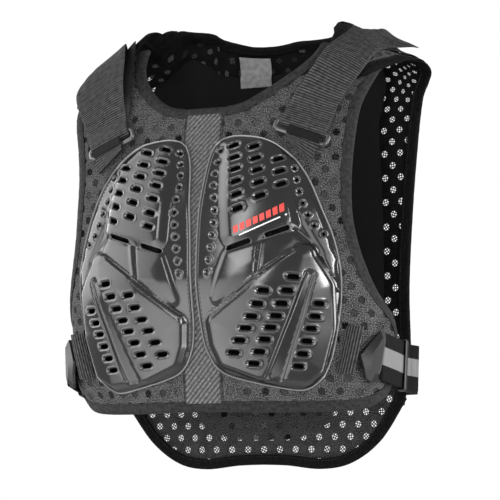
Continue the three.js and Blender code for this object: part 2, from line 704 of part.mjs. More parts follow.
// Flat frame at the ring: its middle, the directions along and across the strap, and outwards.
function ringFrame() {
  const { lifted } = strapFrame();
  const at = (a, w) => lifted(a - RING.back, w, RING.lift);
  const centre = at(0, 0);
  const along = at(RING.depth, 0).sub(at(-RING.depth, 0)).normalize();
  const aside = at(0, 1).sub(at(0, -1));
  const out = along.clone().cross(aside).normalize();
  const across = out.clone().cross(along).normalize();
  return { centre, along, across, out };
}

function shoulderRing() {
  const { centre, along, across, out } = ringFrame();
  const points = [];
  const corners = [[1, 1], [-1, 1], [-1, -1], [1, -1]];
  corners.forEach(([u, v], quarter) => {
    for (let k = 0; k <= RING.corner_steps; k += 1) {
      const angle = Math.PI / 2 * (quarter + k / RING.corner_steps);
      const a = u * (RING.depth / 2 - RING.corner) + RING.corner * Math.cos(angle);
      const w = v * (RING.length / 2 - RING.corner) + RING.corner * Math.sin(angle);
      points.push(centre.clone().addScaledVector(along, a).addScaledVector(across, w));
    }
  });
  return wireLoop(points, out, RING.wire / 2, RING.sides);
}

// Tab folded round the lower bar of the ring, with both ends at the edge of the chest plate.
function ringTab() {
  const { centre, along, across, out } = ringFrame();
  const turn = RING.wire / 2 + GAP + WEBBING.thick / 2;
  const bar = centre.clone().addScaledVector(along, -RING.depth / 2);
  const place = (a, lift, w) => {
    const point = bar.clone().addScaledVector(along, a);
    return point.addScaledVector(out, lift).addScaledVector(across, w);
  };
  const columns = [RING_TAB.from, (RING_TAB.from + RING_TAB.to) / 2, RING_TAB.to];
  const share = (w) => (w - RING_TAB.from) / (RING_TAB.to - RING_TAB.from);
  const end = (w) => -lerp(RING_TAB.inner, RING_TAB.outer, share(w));
  const rows = [columns.map((w) => place(end(w), RING_TAB.dip - turn, w))];
  for (let k = 0; k <= STRAP.fold_steps; k += 1) {
    const angle = Math.PI * k / STRAP.fold_steps;
    rows.push(columns.map((w) => place(turn * Math.sin(angle), -turn * Math.cos(angle), w)));
  }
  rows.push(columns.map((w) => place(end(w), RING_TAB.dip - turn + WEBBING.thick + GAP, w)));
  return webbingSolid(rows, WEBBING.thick);
}

// Frame on the side of the body: a point, the direction round the body and outwards.
function sideFrame(s) {
  const point = frontPoint(s, SIDE.run);
  const around = frontPoint(s + 1, SIDE.run).sub(frontPoint(s - 1, SIDE.run)).setZ(0).normalize();
  const out = new THREE.Vector3(around.y, -around.x, 0);
  return { point, around, out };
}

function sideTab() {
  const rows = [];
  for (let k = 0; k <= SIDE_TAB.steps; k += 1) {
    const share = k / SIDE_TAB.steps;
    const s = lerp(SIDE_TAB.from, SIDE_TAB.to - GAP, share);
    const { out } = sideFrame(s);
    const lift = lerp(SIDE_TAB.low, SIDE_TAB.high, smooth(0, 1, share));
    const row = [-0.5, 0, 0.5].map((end) => frontPoint(s, SIDE.run + end * SIDE.width));
    rows.push(row.map((point) => point.addScaledVector(out, lift)));
  }
  return webbingSolid(rows, SIDE.thick);
}

function buckleFrame() {
  const { point, around, out } = sideFrame((SIDE_TAB.to + BUCKLE.to) / 2);
  const base = point.addScaledVector(out, SIDE.lift + BUCKLE.seat);
  return { base, around, out, half: (BUCKLE.to - SIDE_TAB.to) / 2 };
}

// Moulded buckle, pointed towards the front, with a bevelled face.
function sideBuckle() {
  const { base, around, out, half } = buckleFrame();
  const wide = half - BUCKLE.bevel;
  const high = BUCKLE.height / 2 - BUCKLE.bevel;
  const waist = high - BUCKLE.chamfer;
  const outline = [[-wide, 0], [0, -high], [wide, -waist], [wide, waist], [0, high]];
  const shape = new THREE.Shape(outline.map(([x, y]) => new THREE.Vector2(x, y)));
  const geometry = new THREE.ExtrudeGeometry(shape, {
    depth: BUCKLE.thick - 2 * BUCKLE.bevel,
    bevelThickness: BUCKLE.bevel,
    bevelSize: BUCKLE.bevel,
    bevelSegments: 1,
  });
  geometry.deleteAttribute('normal');
  geometry.deleteAttribute('uv');
  const up = new THREE.Vector3(0, 0, 1);
  geometry.applyMatrix4(new THREE.Matrix4().makeBasis(around, up, out));
  geometry.translate(...base.addScaledVector(out, BUCKLE.bevel).toArray());
  return mergeVertices(geometry, MERGE);
}

// Line of the side strap seen from above: from the buckle round the side to the back cloth.
function sideLine() {
  const { base, around, out, half } = buckleFrame();
  const inset = half + SIDE_STRAP.layer - GAP;
  const start = base.clone().addScaledVector(around, inset).addScaledVector(out, SIDE.strap_in);
  const hip = sideFrame(SIDE_STRAP.hip);
  const edge = backPoint(BACK_OUTER.at(-2).x + BINDING.width, SIDE.run);
  const sewn = backPoint(SIDE_STRAP.sewn_x, SIDE.run);
  const points = [
    start,
    hip.point.addScaledVector(hip.out, SIDE.lift + SIDE.thick),
    edge.clone().add(new THREE.Vector3(SIDE_STRAP.around, -SIDE_STRAP.before, 0)),
    edge.clone().add(new THREE.Vector3(SIDE_STRAP.around, PANEL / 2, 0)),
    edge.clone().add(new THREE.Vector3(-PANEL, PANEL + 2 * SIDE.thick + SIDE_STRAP.clear, 0)),
    sewn.add(new THREE.Vector3(0, PANEL + GAP + SIDE_STRAP.clear, 0)),
  ];
  points.forEach((point) => point.setZ(start.z));
  return new THREE.CatmullRomCurve3(points, false, 'centripetal');
}

function sideStrap() {
  const line = sideLine();
  const length = line.getLength();
  const frame = (distance) => {
    const share = distance / length;
    const along = line.getTangentAt(share);
    return { point: line.getPointAt(share), along, out: new THREE.Vector3(along.y, -along.x, 0) };
  };
  const held = KEEPER.at + KEEPER.wide;
  const middle = [];
  for (let k = SIDE_STRAP.steps; k >= 0; k -= 1) {
    const distance = SIDE_STRAP.free_end * k / SIDE_STRAP.steps;
    const { point, out } = frame(distance);
    const loose = SIDE_STRAP.free_lift * smooth(held, SIDE_STRAP.free_end * SIDE_STRAP.bend, distance);
    middle.push(point.addScaledVector(out, SIDE_STRAP.layer + loose));
  }
  const start = frame(0);
  const radius = SIDE_STRAP.layer / 2;
  const turn = start.point.clone().addScaledVector(start.out, radius);
  for (let k = 1; k < SIDE_STRAP.turn_steps; k += 1) {
    const swing = Math.PI * k / SIDE_STRAP.turn_steps;
    const ahead = turn.clone().addScaledVector(start.along, -radius * Math.sin(swing));
    middle.push(ahead.addScaledVector(start.out, radius * Math.cos(swing)));
  }
  for (let k = 0; k <= SIDE_STRAP.back_steps; k += 1) {
    middle.push(frame(length * k / SIDE_STRAP.back_steps).point);
  }
  const ends = [-SIDE.width / 2, SIDE.width / 2];
  const rows = middle.map((point) => ends.map((end) => point.clone().setZ(point.z + end)));
  return webbingSolid(rows, SIDE.thick);
}

// Loop that holds the free end of the side strap.
function sideKeeper() {
  const line = sideLine();
  const share = (KEEPER.at + KEEPER.wide / 2) / line.getLength();
  const along = line.getTangentAt(share);
  const out = new THREE.Vector3(along.y, -along.x, 0);
  const centre = line.getPointAt(share).addScaledVector(out, SIDE_STRAP.layer / 2);
  const deep = (SIDE_STRAP.layer + SIDE.thick) / 2 + KEEPER.clear;
  const high = SIDE.width / 2 + KEEPER.clear;
  const box = (x, y) => [[-x, -y], [x, -y], [x, y], [-x, y]].map(([a, b]) => new THREE.Vector2(a, b));
  const shape = new THREE.Shape(box(deep + KEEPER.wire, high + KEEPER.wire));
  shape.holes.push(new THREE.Path(box(deep, high).reverse()));
  const geometry = new THREE.ExtrudeGeometry(shape, { depth: KEEPER.wide, bevelEnabled: false });
  geometry.deleteAttribute('normal');
  geometry.deleteAttribute('uv');
  geometry.translate(0, 0, -KEEPER.wide / 2);
  const up = new THREE.Vector3(0, 0, 1);
  geometry.applyMatrix4(new THREE.Matrix4().makeBasis(out, up, out.clone().cross(up)));
  geometry.translate(...centre.toArray());
  return mergeVertices(geometry, MERGE);
}

function neckLabel() {
  const rows = [0, 0.5, 1].map((down) => [-0.5, 0, 0.5].map((across) => {
    const point = overPoint(LABEL.x + across * LABEL.width, LABEL.top - down * LABEL.height);
    return knot(point, -LABEL.seat - LABEL.thick, -LABEL.seat);
  }));
  return sheetSolid(rows);
}

// A point of the vest after its empty shoulders have sagged.
function saggedPoint(x, z) {
  if (x < 0) {
    const past = Math.max(DROOP.start - x, 0);
    const drop = DROOP.slope * past * smooth(0, DROOP.ease, past) * smooth(DROOP.low, DROOP.high, z);
    const lean = smooth(LEAN_RIGHT.from, LEAN_RIGHT.full, -x) * smooth(LEAN_RIGHT.low, LEAN_RIGHT.high, z);
    return [x + LEAN_RIGHT.by * lean, z - drop];
  }
  const side = smooth(LEAN_LEFT.from, LEAN_LEFT.full, x) * (1 - smooth(LEAN_LEFT.fade, LEAN_LEFT.end, x));
  const lean = LEAN_LEFT.by * side * smooth(LEAN_LEFT.low, LEAN_LEFT.high, z);
  return [x + lean, z - SINK_LEFT.by * side * smooth(SINK_LEFT.low, SINK_LEFT.high, z)];
}

// The same solid with sagged shoulders.
function sagged(geometry) {
  const copy = geometry.clone();
  const position = copy.attributes.position;
  for (let i = 0; i < position.count; i += 1) {
    const [x, z] = saggedPoint(position.getX(i), position.getZ(i));
    position.setX(i, x);
    position.setZ(i, z);
  }
  return copy;
}

const vest = new THREE.Group();

function addPiece(name, geometry, colour, roughness, metalness = 0) {
  const material = new THREE.MeshStandardMaterial({ color: colour, roughness, metalness });
  const mesh = new THREE.Mesh(sagged(geometry), material);
  mesh.name = name;
  vest.add(mesh);
}

// The same piece on both sides of the body.
function addPair(name, geometry, colour, roughness, metalness = 0) {
  addPiece(`${name}_left`, geometry, colour, roughness, metalness);
  addPiece(`${name}_right`, mirrored(geometry), colour, roughness, metalness);
}

addPair('front_panel', frontHalf(), COLOUR.mesh, 0.9);
addPiece('centre_strip', centreStrip(), COLOUR.strip, 0.55);
addPiece('neck_binding', neckBinding(), COLOUR.binding, 0.85);
addPair('arm_binding', armBinding(), COLOUR.binding, 0.85);
addPiece('hem_binding', hemBinding(), COLOUR.binding, 0.85);
addPiece('back_panel', backPanel(), COLOUR.mesh, 0.9);
addPiece('back_neck_binding', backNeckBinding(), COLOUR.binding, 0.85);
addPair('back_side_binding', flapAndSideBinding(), COLOUR.binding, 0.85);
addPiece('tail_binding', tailBinding(), COLOUR.binding, 0.85);
addPiece('back_lining', backLining(), COLOUR.lining, 0.9);
addPiece('back_plate', backPlate(), COLOUR.plate, 0.35);
addPiece('chest_plate_left', chestPlate('left'), COLOUR.plate, 0.35);
addPiece('chest_plate_right', mirrored(chestPlate('right')), COLOUR.plate, 0.35);
addPair('shoulder_strap', shoulderStrap(), COLOUR.webbing, 0.8);
addPair('shoulder_ring', shoulderRing(), COLOUR.ring, 0.35);
addPair('ring_tab', ringTab(), COLOUR.webbing, 0.8);
addPair('side_tab', sideTab(), COLOUR.webbing, 0.8);
addPair('side_buckle', sideBuckle(), COLOUR.buckle, 0.4);
addPair('side_strap', sideStrap(), COLOUR.webbing, 0.8);
addPair('side_keeper', sideKeeper(), COLOUR.buckle, 0.45);
addPiece('neck_label', neckLabel(), COLOUR.label, 0.7);

export default vest;
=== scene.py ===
import functools
import math

import bpy
import numpy as np
from mathutils import Matrix, Vector
from mathutils.geometry import delaunay_2d_cdt


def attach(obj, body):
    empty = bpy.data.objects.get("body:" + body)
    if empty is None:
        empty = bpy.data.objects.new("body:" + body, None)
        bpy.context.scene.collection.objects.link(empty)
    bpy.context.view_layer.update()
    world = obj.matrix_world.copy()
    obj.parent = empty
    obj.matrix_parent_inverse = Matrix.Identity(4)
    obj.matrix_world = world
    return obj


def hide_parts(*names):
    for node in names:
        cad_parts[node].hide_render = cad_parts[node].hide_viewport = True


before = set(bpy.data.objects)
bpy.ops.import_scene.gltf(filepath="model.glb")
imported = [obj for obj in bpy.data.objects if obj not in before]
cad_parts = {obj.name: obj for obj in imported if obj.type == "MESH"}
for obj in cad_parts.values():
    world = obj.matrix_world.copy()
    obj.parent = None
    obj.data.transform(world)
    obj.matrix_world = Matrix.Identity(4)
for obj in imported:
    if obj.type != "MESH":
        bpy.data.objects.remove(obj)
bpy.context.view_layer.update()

# Body protector vest. Lengths in millimetres, +Z up, the wearer faces -Y, +X is the wearer's left.
MM = 0.001
RANDOM = np.random.default_rng(7)

# Sections of the body: cloth length, height, front and back depth, half width, corner radius.
TORSO = np.array([
    (0, 0, 14, 36, 205, 9), (23, -6, -6, 58, 205, 24), (51, -18, -28, 72, 205, 38),
    (75, -36, -43, 79, 204, 48), (107, -65, -57, 84, 201, 55), (153, -110, -67, 88, 194, 60),
    (204, -160, -78, 91, 188, 62), (264, -220, -93, 94, 185, 62), (324, -280, -95, 97, 183, 62),
    (384, -340, -82, 99, 181, 60), (444, -400, -70, 100, 178, 56), (530, -486, -62, 100, 172, 50),
], float)
# Slope of the shoulders: where it starts, how steep it is, and the length at which it ends.
SLOPE_START, SLOPE, SLOPE_FADE = 110, 0.5, 170
# Bow of the back: radius, its share at the ridge, and the length at which it is full.
BACK_RADIUS, BACK_FLAT, BACK_FADE = 720, 0.1, 110
# The collar stands up on the wearer's right: middle, half width, rise, and the length at which it ends.
COLLAR_X, COLLAR_WIDTH, COLLAR_RISE, COLLAR_FADE = -50, 45, 22, 90
# Rounded cap over the shoulder ridge.
CAP_LENGTH, CAP_HEIGHT = 10, 2
# Most turn of cloth round the side, in radians: at the shoulder ridge, lower down, and the lengths between.
TURN_RIDGE, TURN_BODY, TURN_FADE = 0.9, 2.4, (20, 75)
# The wearer's right shoulder hangs lower: start, ease, slope, and the heights between which it fades out.
DROOP_START, DROOP_EASE, DROOP_SLOPE, DROOP_HEIGHT = -110, 30, 0.36, (-158, -10)
# Both shoulders lean to the wearer's left, and the left one sinks: how far, and between which places.
LEAN_RIGHT, LEAN_RIGHT_SIDE, LEAN_RIGHT_HEIGHT = 24, (30, 80), (-115, 0)
LEAN_LEFT, LEAN_LEFT_SIDE, LEAN_LEFT_END, LEAN_LEFT_HEIGHT = 16, (50, 100), (150, 200), (-110, -45)
SINK_LEFT, SINK_LEFT_HEIGHT, SINK_START, SINK_SLOPE = 12, (-60, 0), 150, 0.2
# On the wearer's right the shoulder's outer edge is tucked in and the collar sinks beside the strap.
TUCK, TUCK_SIDE, TUCK_HEIGHT = 12, (168, 198), (-110, -50)
DIP, DIP_SIDE, DIP_END, DIP_HEIGHT, DIP_DEPTH = 15, (97, 119), (124, 143), (-70, -5), (-15, 15)
# The lower corner on the wearer's right is drawn in: how far, and between which places.
PINCH, PINCH_SIDE, PINCH_HEIGHT = 14, (40, 170), (-425, -385)

# Cloth layers as lifts off the body.
PANEL = 6
FLAP_LIFT, FLAP_THICK, FLAP_RISE = 9.2, 4.6, (-70, 5)
STRIP_HALF = 22
# Step of the drawn lines, points of a curve between two rows, and points measured at a time.
LINE_STEP, CURVE_STEPS, BLOCK = 3, 24, 4000

# Seam lines of the front: distance round the body, cloth length.
FRONT_TOP = [
    (22, 154), (46, 149), (70, 135), (90, 117), (104, 98), (111, 80), (114, 64), (145, 62), (180, 66),
]
FRONT_OUTER = [
    (180, 66), (168, 98), (156, 150), (151, 205), (153, 250), (158, 285),
    (169, 320), (186, 352), (210, 376), (219, 392), (213, 414), (192, 444),
]
FRONT_HEM = [(22, 459), (80, 460), (140, 459), (170, 455), (192, 444)]

# Seam lines of the back: distance from the centre line, cloth length from the ridge.
BACK_TOP = [
    (0, -58), (40, -54), (76, -42), (104, -22), (117, 8),
    (121, 45), (125, 80), (136, 106), (152, 114), (167, 103),
]
BACK_OUTER = [
    (167, 103), (184, 84), (195, 56), (200, 22), (202, -20), (201, -70), (193, -120),
    (185, -180), (177, -250), (170, -340), (170, -420), (163, -462),
]
BACK_TAIL = [(0, -523), (30, -524), (70, -528), (104, -522), (136, -500), (163, -462)]
LINING_TOP = [(0, -88), (60, -80), (112, -52), (138, -62)]
LINING_OUTER = [(138, -62), (148, -120), (150, -170), (152, -300), (146, -400), (122, -462)]
LINING_LOW = [(0, -472), (70, -470), (122, -462)]
BACK_PLATE_TOP = [(0, -128), (50, -124), (92, -136)]
BACK_PLATE_OUTER = [(92, -136), (122, -190), (126, -300), (112, -410), (78, -488)]
BACK_PLATE_LOW = [(0, -506), (40, -504), (78, -488)]


def smooth(low, high, value):
    share = np.clip((np.asarray(value, float) - low) / (high - low), 0, 1)
    return share * share * (3 - 2 * share)


def unit(vectors):
    return vectors / np.maximum(np.linalg.norm(vectors, axis=-1, keepdims=True), 1e-9)


def table_curve(xs, ys):
    """Monotone cubic through the rows of a table."""
    step = np.diff(xs)
    slope = np.diff(ys) / step
    product = slope[:-1] * slope[1:]
    total = np.where(product > 0, slope[:-1] + slope[1:], 1)
    middle = np.where(product > 0, 2 * product / total, 0)
    tangent = np.concatenate([slope[:1], middle, slope[-1:]])

    def curve(value):
        x = np.clip(value, xs[0], xs[-1])
        i = np.clip(np.searchsorted(xs, x) - 1, 0, len(xs) - 2)
        k = (x - xs[i]) / step[i]
        level = ys[i] * (1 + 2 * k) * (1 - k) ** 2 + ys[i + 1] * k * k * (3 - 2 * k)
        return level + step[i] * (tangent[i] * k * (1 - k) ** 2 + tangent[i + 1] * k * k * (k - 1))

    return curve


BODY_Z, BODY_FRONT, BODY_BACK, BODY_HALF, BODY_CORNER = (
    table_curve(TORSO[:, 0], TORSO[:, column]) for column in range(1, 6)
)


def height_at(x, run):
    fade = 1 - smooth(0, SLOPE_FADE, run)
    return BODY_Z(run) - SLOPE * np.maximum(np.abs(x) - SLOPE_START, 0) * fade


def front_point(s, run):
    """Point of the front and side, s being the distance round from the front centre line."""
    s, run = np.broadcast_arrays(np.asarray(s, float), np.asarray(run, float))
    corner = BODY_CORNER(run)
    half = BODY_HALF(run) - corner
    front = BODY_FRONT(run)
    middle = (front + BODY_BACK(run)) / 2
    deep = middle - front
    radius = (half ** 2 + deep ** 2 - corner ** 2) / (2 * (deep - corner))
    turn = np.arcsin(half / (radius - corner))
    around = np.abs(s)
    most = TURN_RIDGE + (TURN_BODY - TURN_RIDGE) * smooth(*TURN_FADE, run)
    ahead = around <= radius * turn
    past = np.maximum(around - radius * turn, 0)
    angle = turn + np.minimum(past / corner, most)
    rest = np.maximum(past - most * corner, 0)
    round_x, round_y = half + corner * np.sin(angle), middle - corner * np.cos(angle)
    x = np.where(ahead, radius * np.sin(around / radius), round_x + rest * np.cos(angle))
    y = np.where(ahead, front + radius * (1 - np.cos(around / radius)), round_y + rest * np.sin(angle))
    return np.stack([np.sign(s) * x, y, height_at(x, run)], -1)


def back_point(x, run):
    x, run = np.broadcast_arrays(np.asarray(x, float), np.asarray(run, float))
    bend = BACK_FLAT + (1 - BACK_FLAT) * smooth(0, BACK_FADE, run)
    bump = np.exp(-(((x - COLLAR_X) / COLLAR_WIDTH) ** 2))
    rise = COLLAR_RISE * bump * (1 - smooth(0, COLLAR_FADE, run))
    depth = BODY_BACK(run) - bend * x * x / (2 * BACK_RADIUS)
    return np.stack([x, depth, height_at(x, run) + rise], -1)


def over_point(x, t):
    """Point of cloth that crosses the shoulder ridge, t running from the back (negative) to the front."""
    x, t = np.broadcast_arrays(np.asarray(x, float), np.asarray(t, float))
    front = front_point(x, np.maximum(t - CAP_LENGTH, 0))
    back = back_point(x, np.maximum(-t - CAP_LENGTH, 0))
    angle = np.clip(t / CAP_LENGTH, -1, 1) * math.pi / 2
    share = ((1 - np.sin(angle)) / 2)[..., None]
    point = front + (back - front) * share
    point[..., 2] += CAP_HEIGHT * np.cos(angle)
    return point


def surface(place, a, b, lift=0.0, reach=1.0):
    """Points lifted off the body along its outward normal, and those normals."""
    across = place(a + reach, b) - place(a - reach, b)
    down = place(a, b + reach) - place(a, b - reach)
    normal = unit(np.cross(down, across))
    return place(a, b) + normal * np.asarray(lift, float)[..., None], normal


def lifted(place, flat, lift):
    return surface(place, flat[..., 0], flat[..., 1], lift)[0]


def sagged(points):
    """Points of the vest after its empty shoulders have sagged."""
    x, y, z = points.T
    past = np.maximum(DROOP_START - x, 0)
    drop = DROOP_SLOPE * past * smooth(0, DROOP_EASE, past) * smooth(*DROOP_HEIGHT, z)
    lean = LEAN_RIGHT * smooth(*LEAN_RIGHT_SIDE, -x) * smooth(*LEAN_RIGHT_HEIGHT, z)
    left = smooth(*LEAN_LEFT_SIDE, x) * (1 - smooth(*LEAN_LEFT_END, x))
    lean += LEAN_LEFT * left * smooth(*LEAN_LEFT_HEIGHT, z)
    outer = SINK_LEFT * smooth(*LEAN_LEFT_SIDE, x) + SINK_SLOPE * np.maximum(x - SINK_START, 0)
    drop += outer * smooth(*SINK_LEFT_HEIGHT, z)
    beside = smooth(*DIP_SIDE, -x) * (1 - smooth(*DIP_END, -x))
    drop += DIP * beside * smooth(*DIP_HEIGHT, z) * smooth(*DIP_DEPTH, y)
    lean += TUCK * smooth(*TUCK_SIDE, -x) * smooth(*TUCK_HEIGHT, z)
    lean += PINCH * smooth(*PINCH_SIDE, -x) * (1 - smooth(*PINCH_HEIGHT, z))
    return np.stack([x + lean, y, z - drop], -1)


def run_length(line):
    """Distance along a line of points, at each of them."""
    return np.concatenate([[0], np.cumsum(np.linalg.norm(np.diff(line, axis=0), axis=1))])


def spread(line, step):
    """Equal steps along a line of points."""
    length = run_length(line)
    at = np.linspace(0, length[-1], max(2, int(round(length[-1] / step)) + 1))
    return np.stack([np.interp(at, length, line[:, k]) for k in range(line.shape[1])], -1)


def arc(start, end, first, last, steps):
    """Cubic from one point to the next, given its tangents at both."""
    k = np.linspace(0, 1, steps, endpoint=False)[:, None]
    bend = 2 * (start - end) + first + last
    return start + first * k + (3 * (end - start) - 2 * first - last) * k ** 2 + bend * k ** 3


def spline(rows, step=LINE_STEP):
    """Smooth line through the rows of a table, in equal steps."""
    p = np.array(rows, float)
    parts = []
    for i in range(len(p) - 1):
        first = (p[i + 1] - p[max(i - 1, 0)]) / 2
        last = (p[min(i + 2, len(p) - 1)] - p[i]) / 2
        parts.append(arc(p[i], p[i + 1], first, last, CURVE_STEPS))
    return spread(np.concatenate([*parts, p[-1:]]), step)


def mirrored_line(line):
    return line[::-1] * (-1, 1)


def whole(half):
    return np.concatenate([mirrored_line(half), half])


def whole_grid(half):
    return np.concatenate([half[:, :0:-1] * (-1, 1), half], 1)


def outward(path, side=1):
    """Directions square to a path, on one side of it or the other."""
    along = unit(np.gradient(path, axis=0))
    return np.stack([along[:, 1], -along[:, 0]], -1) * side


def coons(top, low, inner, outer, across, down):
    """Grid of points between four edges."""
    def edge(line, count):
        line = spread(np.asarray(line, float), 1)
        at = np.linspace(0, len(line) - 1, count)
        return np.stack([np.interp(at, np.arange(len(line)), line[:, k]) for k in (0, 1)], -1)

    top, low = edge(top, across), edge(low, across)
    inner, outer = edge(inner, down), edge(outer, down)
    u = np.linspace(0, 1, across)[None, :, None]
    v = np.linspace(0, 1, down)[:, None, None]
    ruled = top[None] * (1 - v) + low[None] * v + inner[:, None] * (1 - u) + outer[:, None] * u
    corners = (top[0] * (1 - u) + top[-1] * u) * (1 - v) + (low[0] * (1 - u) + low[-1] * u) * v
    return ruled - corners


def segment_distance(points, start, end):
    """Distance from each point to the nearest of many segments."""
    edge = end - start
    length = np.maximum((edge * edge).sum(-1), 1e-12)
    found = []
    for block in np.array_split(points, max(1, len(points) // BLOCK)):
        offset = block[:, None] - start
        share = np.clip((offset * edge).sum(-1) / length, 0, 1)
        found.append(np.linalg.norm(offset - share[..., None] * edge, axis=-1).min(1))
    return np.concatenate(found)


def line_distance(points, line):
    line = np.asarray(line, float)
    return segment_distance(points, line[:-1], line[1:])


def within(points, outline):
    """True for the points inside an outline."""
    start = np.asarray(outline, float)
    end = np.roll(start, -1, 0)
    rise = np.where(end[:, 1] == start[:, 1], 1e-9, end[:, 1] - start[:, 1])
    found = []
    for block in np.array_split(points, max(1, len(points) // BLOCK)):
        y = block[:, 1:]
        spans = (start[:, 1] > y) != (end[:, 1] > y)
        crossing = start[:, 0] + (end[:, 0] - start[:, 0]) * (y - start[:, 1]) / rise
        found.append((spans & (block[:, :1] < crossing)).sum(1) % 2 == 1)
    return np.concatenate(found)


def outline_depth(points, outline):
    """Distance inside an outline, negative outside it."""
    outline = np.asarray(outline, float)
    distance = segment_distance(points, outline, np.roll(outline, -1, 0))
    return np.where(within(points, outline), distance, -distance)


def inset(corners, by):
    """Corners of a convex outline moved inwards."""
    p = np.asarray(corners, float)
    edge = unit(np.roll(p, -1, 0) - p)
    turn = np.sign((p[:, 0] * np.roll(p[:, 1], -1) - np.roll(p[:, 0], -1) * p[:, 1]).sum())
    normal = np.stack([-edge[:, 1], edge[:, 0]], -1) * turn
    moved = p + normal * by
    before, back = np.roll(moved, 1, 0), np.roll(edge, 1, 0)
    cross = back[:, 0] * edge[:, 1] - back[:, 1] * edge[:, 0]
    gap = moved - before
    along = (gap[:, 0] * edge[:, 1] - gap[:, 1] * edge[:, 0]) / cross
    return before + back * along[:, None]


def grown(outline, by):
    """An outline moved outwards."""
    along = unit(np.roll(outline, -1, 0) - np.roll(outline, 1, 0))
    area = (outline[:, 0] * np.roll(outline[:, 1], -1) - np.roll(outline[:, 0], -1) * outline[:, 1]).sum()
    return outline + np.stack([along[:, 1], -along[:, 0]], -1) * np.sign(area) * by


class Solid:
    """Closed bodies of one piece, with the flat place and the tone of each point."""

    def __init__(self):
        self.points, self.faces, self.flat, self.tone, self.count = [], [], [], [], 0

    def add(self, points, faces, flat=None, tone=0.0):
        points = np.asarray(points, float).reshape(-1, 3)
        flat = points if flat is None else np.asarray(flat, float)
        if flat.shape[1] == 2:
            flat = np.column_stack([flat, np.zeros(len(flat))])
        volume = 0.0
        for face in faces:
            for k in range(1, face.shape[1] - 1):
                a, b, c = points[face[:, 0]], points[face[:, k]], points[face[:, k + 1]]
                volume += (a * np.cross(b, c)).sum()
        for face in faces:
            self.faces += ((face if volume > 0 else face[:, ::-1]) + self.count).tolist()
        self.points.append(points)
        self.flat.append(flat)
        self.tone.append(np.broadcast_to(np.asarray(tone, float), len(points)))
        self.count += len(points)

    def mirrored(self):
        other = Solid()
        other.points = [points * (-1, 1, 1) for points in self.points]
        other.faces = [face[::-1] for face in self.faces]
        other.flat, other.tone, other.count = list(self.flat), list(self.tone), self.count
        return other


def piece(name, solid, material, slot, *nodes, angle=40):
    """A finished object that rides on the vest and stands for some of its solids."""
    mesh = bpy.data.meshes.new(name)
    mesh.from_pydata((sagged(np.concatenate(solid.points)) * MM).tolist(), [], solid.faces)
    flat = mesh.attributes.new("flat", "FLOAT_VECTOR", "POINT")
    flat.data.foreach_set("vector", np.concatenate(solid.flat).astype(np.float32).ravel())
    tone = mesh.attributes.new("tone", "FLOAT", "POINT")
    tone.data.foreach_set("value", np.concatenate(solid.tone).astype(np.float32))
    mesh.shade_smooth()
    mesh.set_sharp_from_angle(angle=math.radians(angle))
    mesh.materials.append(material)
    obj = bpy.data.objects.new(name, mesh)
    bpy.context.scene.collection.objects.link(obj)
    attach(obj, "root")
    if nodes:
        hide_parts(*nodes)
    return obj


def both_sides(*parts):
    """Pieces made for the wearer's left, and their mirror images for the right."""
    made = []
    for side in ("left", "right"):
        for name, solid, material, slot, angle in parts:
            half = solid if side == "left" else solid.mirrored()
            node = f"{name}_{side}"
            made.append(piece(node, half, material, slot, node, angle=angle))
    return made


def grid_faces(rows, columns, wrap=False, ring=False):
    j, i = np.mgrid[0:rows if ring else rows - 1, 0:columns if wrap else columns - 1]
    below, beside = (j + 1) % rows, (i + 1) % columns
    faces = [j * columns + i, below * columns + i, below * columns + beside, j * columns + beside]
    return np.stack(faces, -1).reshape(-1, 4)


def shell(solid, top, bottom, faces, flat=None, tone=0.0, under=None):
    """Closed solid between two layers that share their faces, each with its tone."""
    count = len(top)
    edges = np.concatenate([np.stack([f, np.roll(f, -1, 1)], -1).reshape(-1, 2) for f in faces])
    _, first, uses = np.unique(np.sort(edges, 1), axis=0, return_index=True, return_counts=True)
    rim = edges[first[uses == 1]]
    walls = np.stack([rim[:, 1], rim[:, 0], rim[:, 0] + count, rim[:, 1] + count], -1)
    every = [*faces, *(f[:, ::-1] + count for f in faces), walls]
    both = None if flat is None else np.concatenate([flat, flat])
    tones = [np.broadcast_to(np.asarray(t, float), count) for t in (tone, tone if under is None else under)]
    solid.add(np.concatenate([top, bottom]), every, both, np.concatenate(tones))


def layer(solid, place, flat, faces, above, below, *tones):
    """Closed sheet on the body between two lifts off it."""
    top, bottom = (lifted(place, flat, lift) for lift in (above, below))
    shell(solid, top, bottom, [faces], flat, *tones)


def tube(solid, rows, ring=False, flat=None, tone=0.0):
    """Closed solid through sections of equally many points."""
    count, sides = rows.shape[:2]
    faces = [grid_faces(count, sides, wrap=True, ring=ring)]
    if not ring:
        first = np.arange(sides)
        faces += [first[None, :], (first[::-1] + (count - 1) * sides)[None, :]]
    solid.add(rows, faces, flat, tone)


def ribbon(solid, rows, thick, relief=0.0, flat=None, tone=0.0):
    """Flat strap through rows of points that lie across it."""
    normal = unit(np.cross(np.gradient(rows, axis=0), np.gradient(rows, axis=1)))
    half = (np.broadcast_to(thick, rows.shape[:2]) / 2 + relief)[..., None] * normal
    top, bottom = (rows + half).reshape(-1, 3), (rows - half).reshape(-1, 3)
    shell(solid, top, bottom, [grid_faces(*rows.shape[:2])], flat, tone)


STITCH = {"pitch": 4.2, "long": 2.9, "wide": 0.8, "high": 0.55}


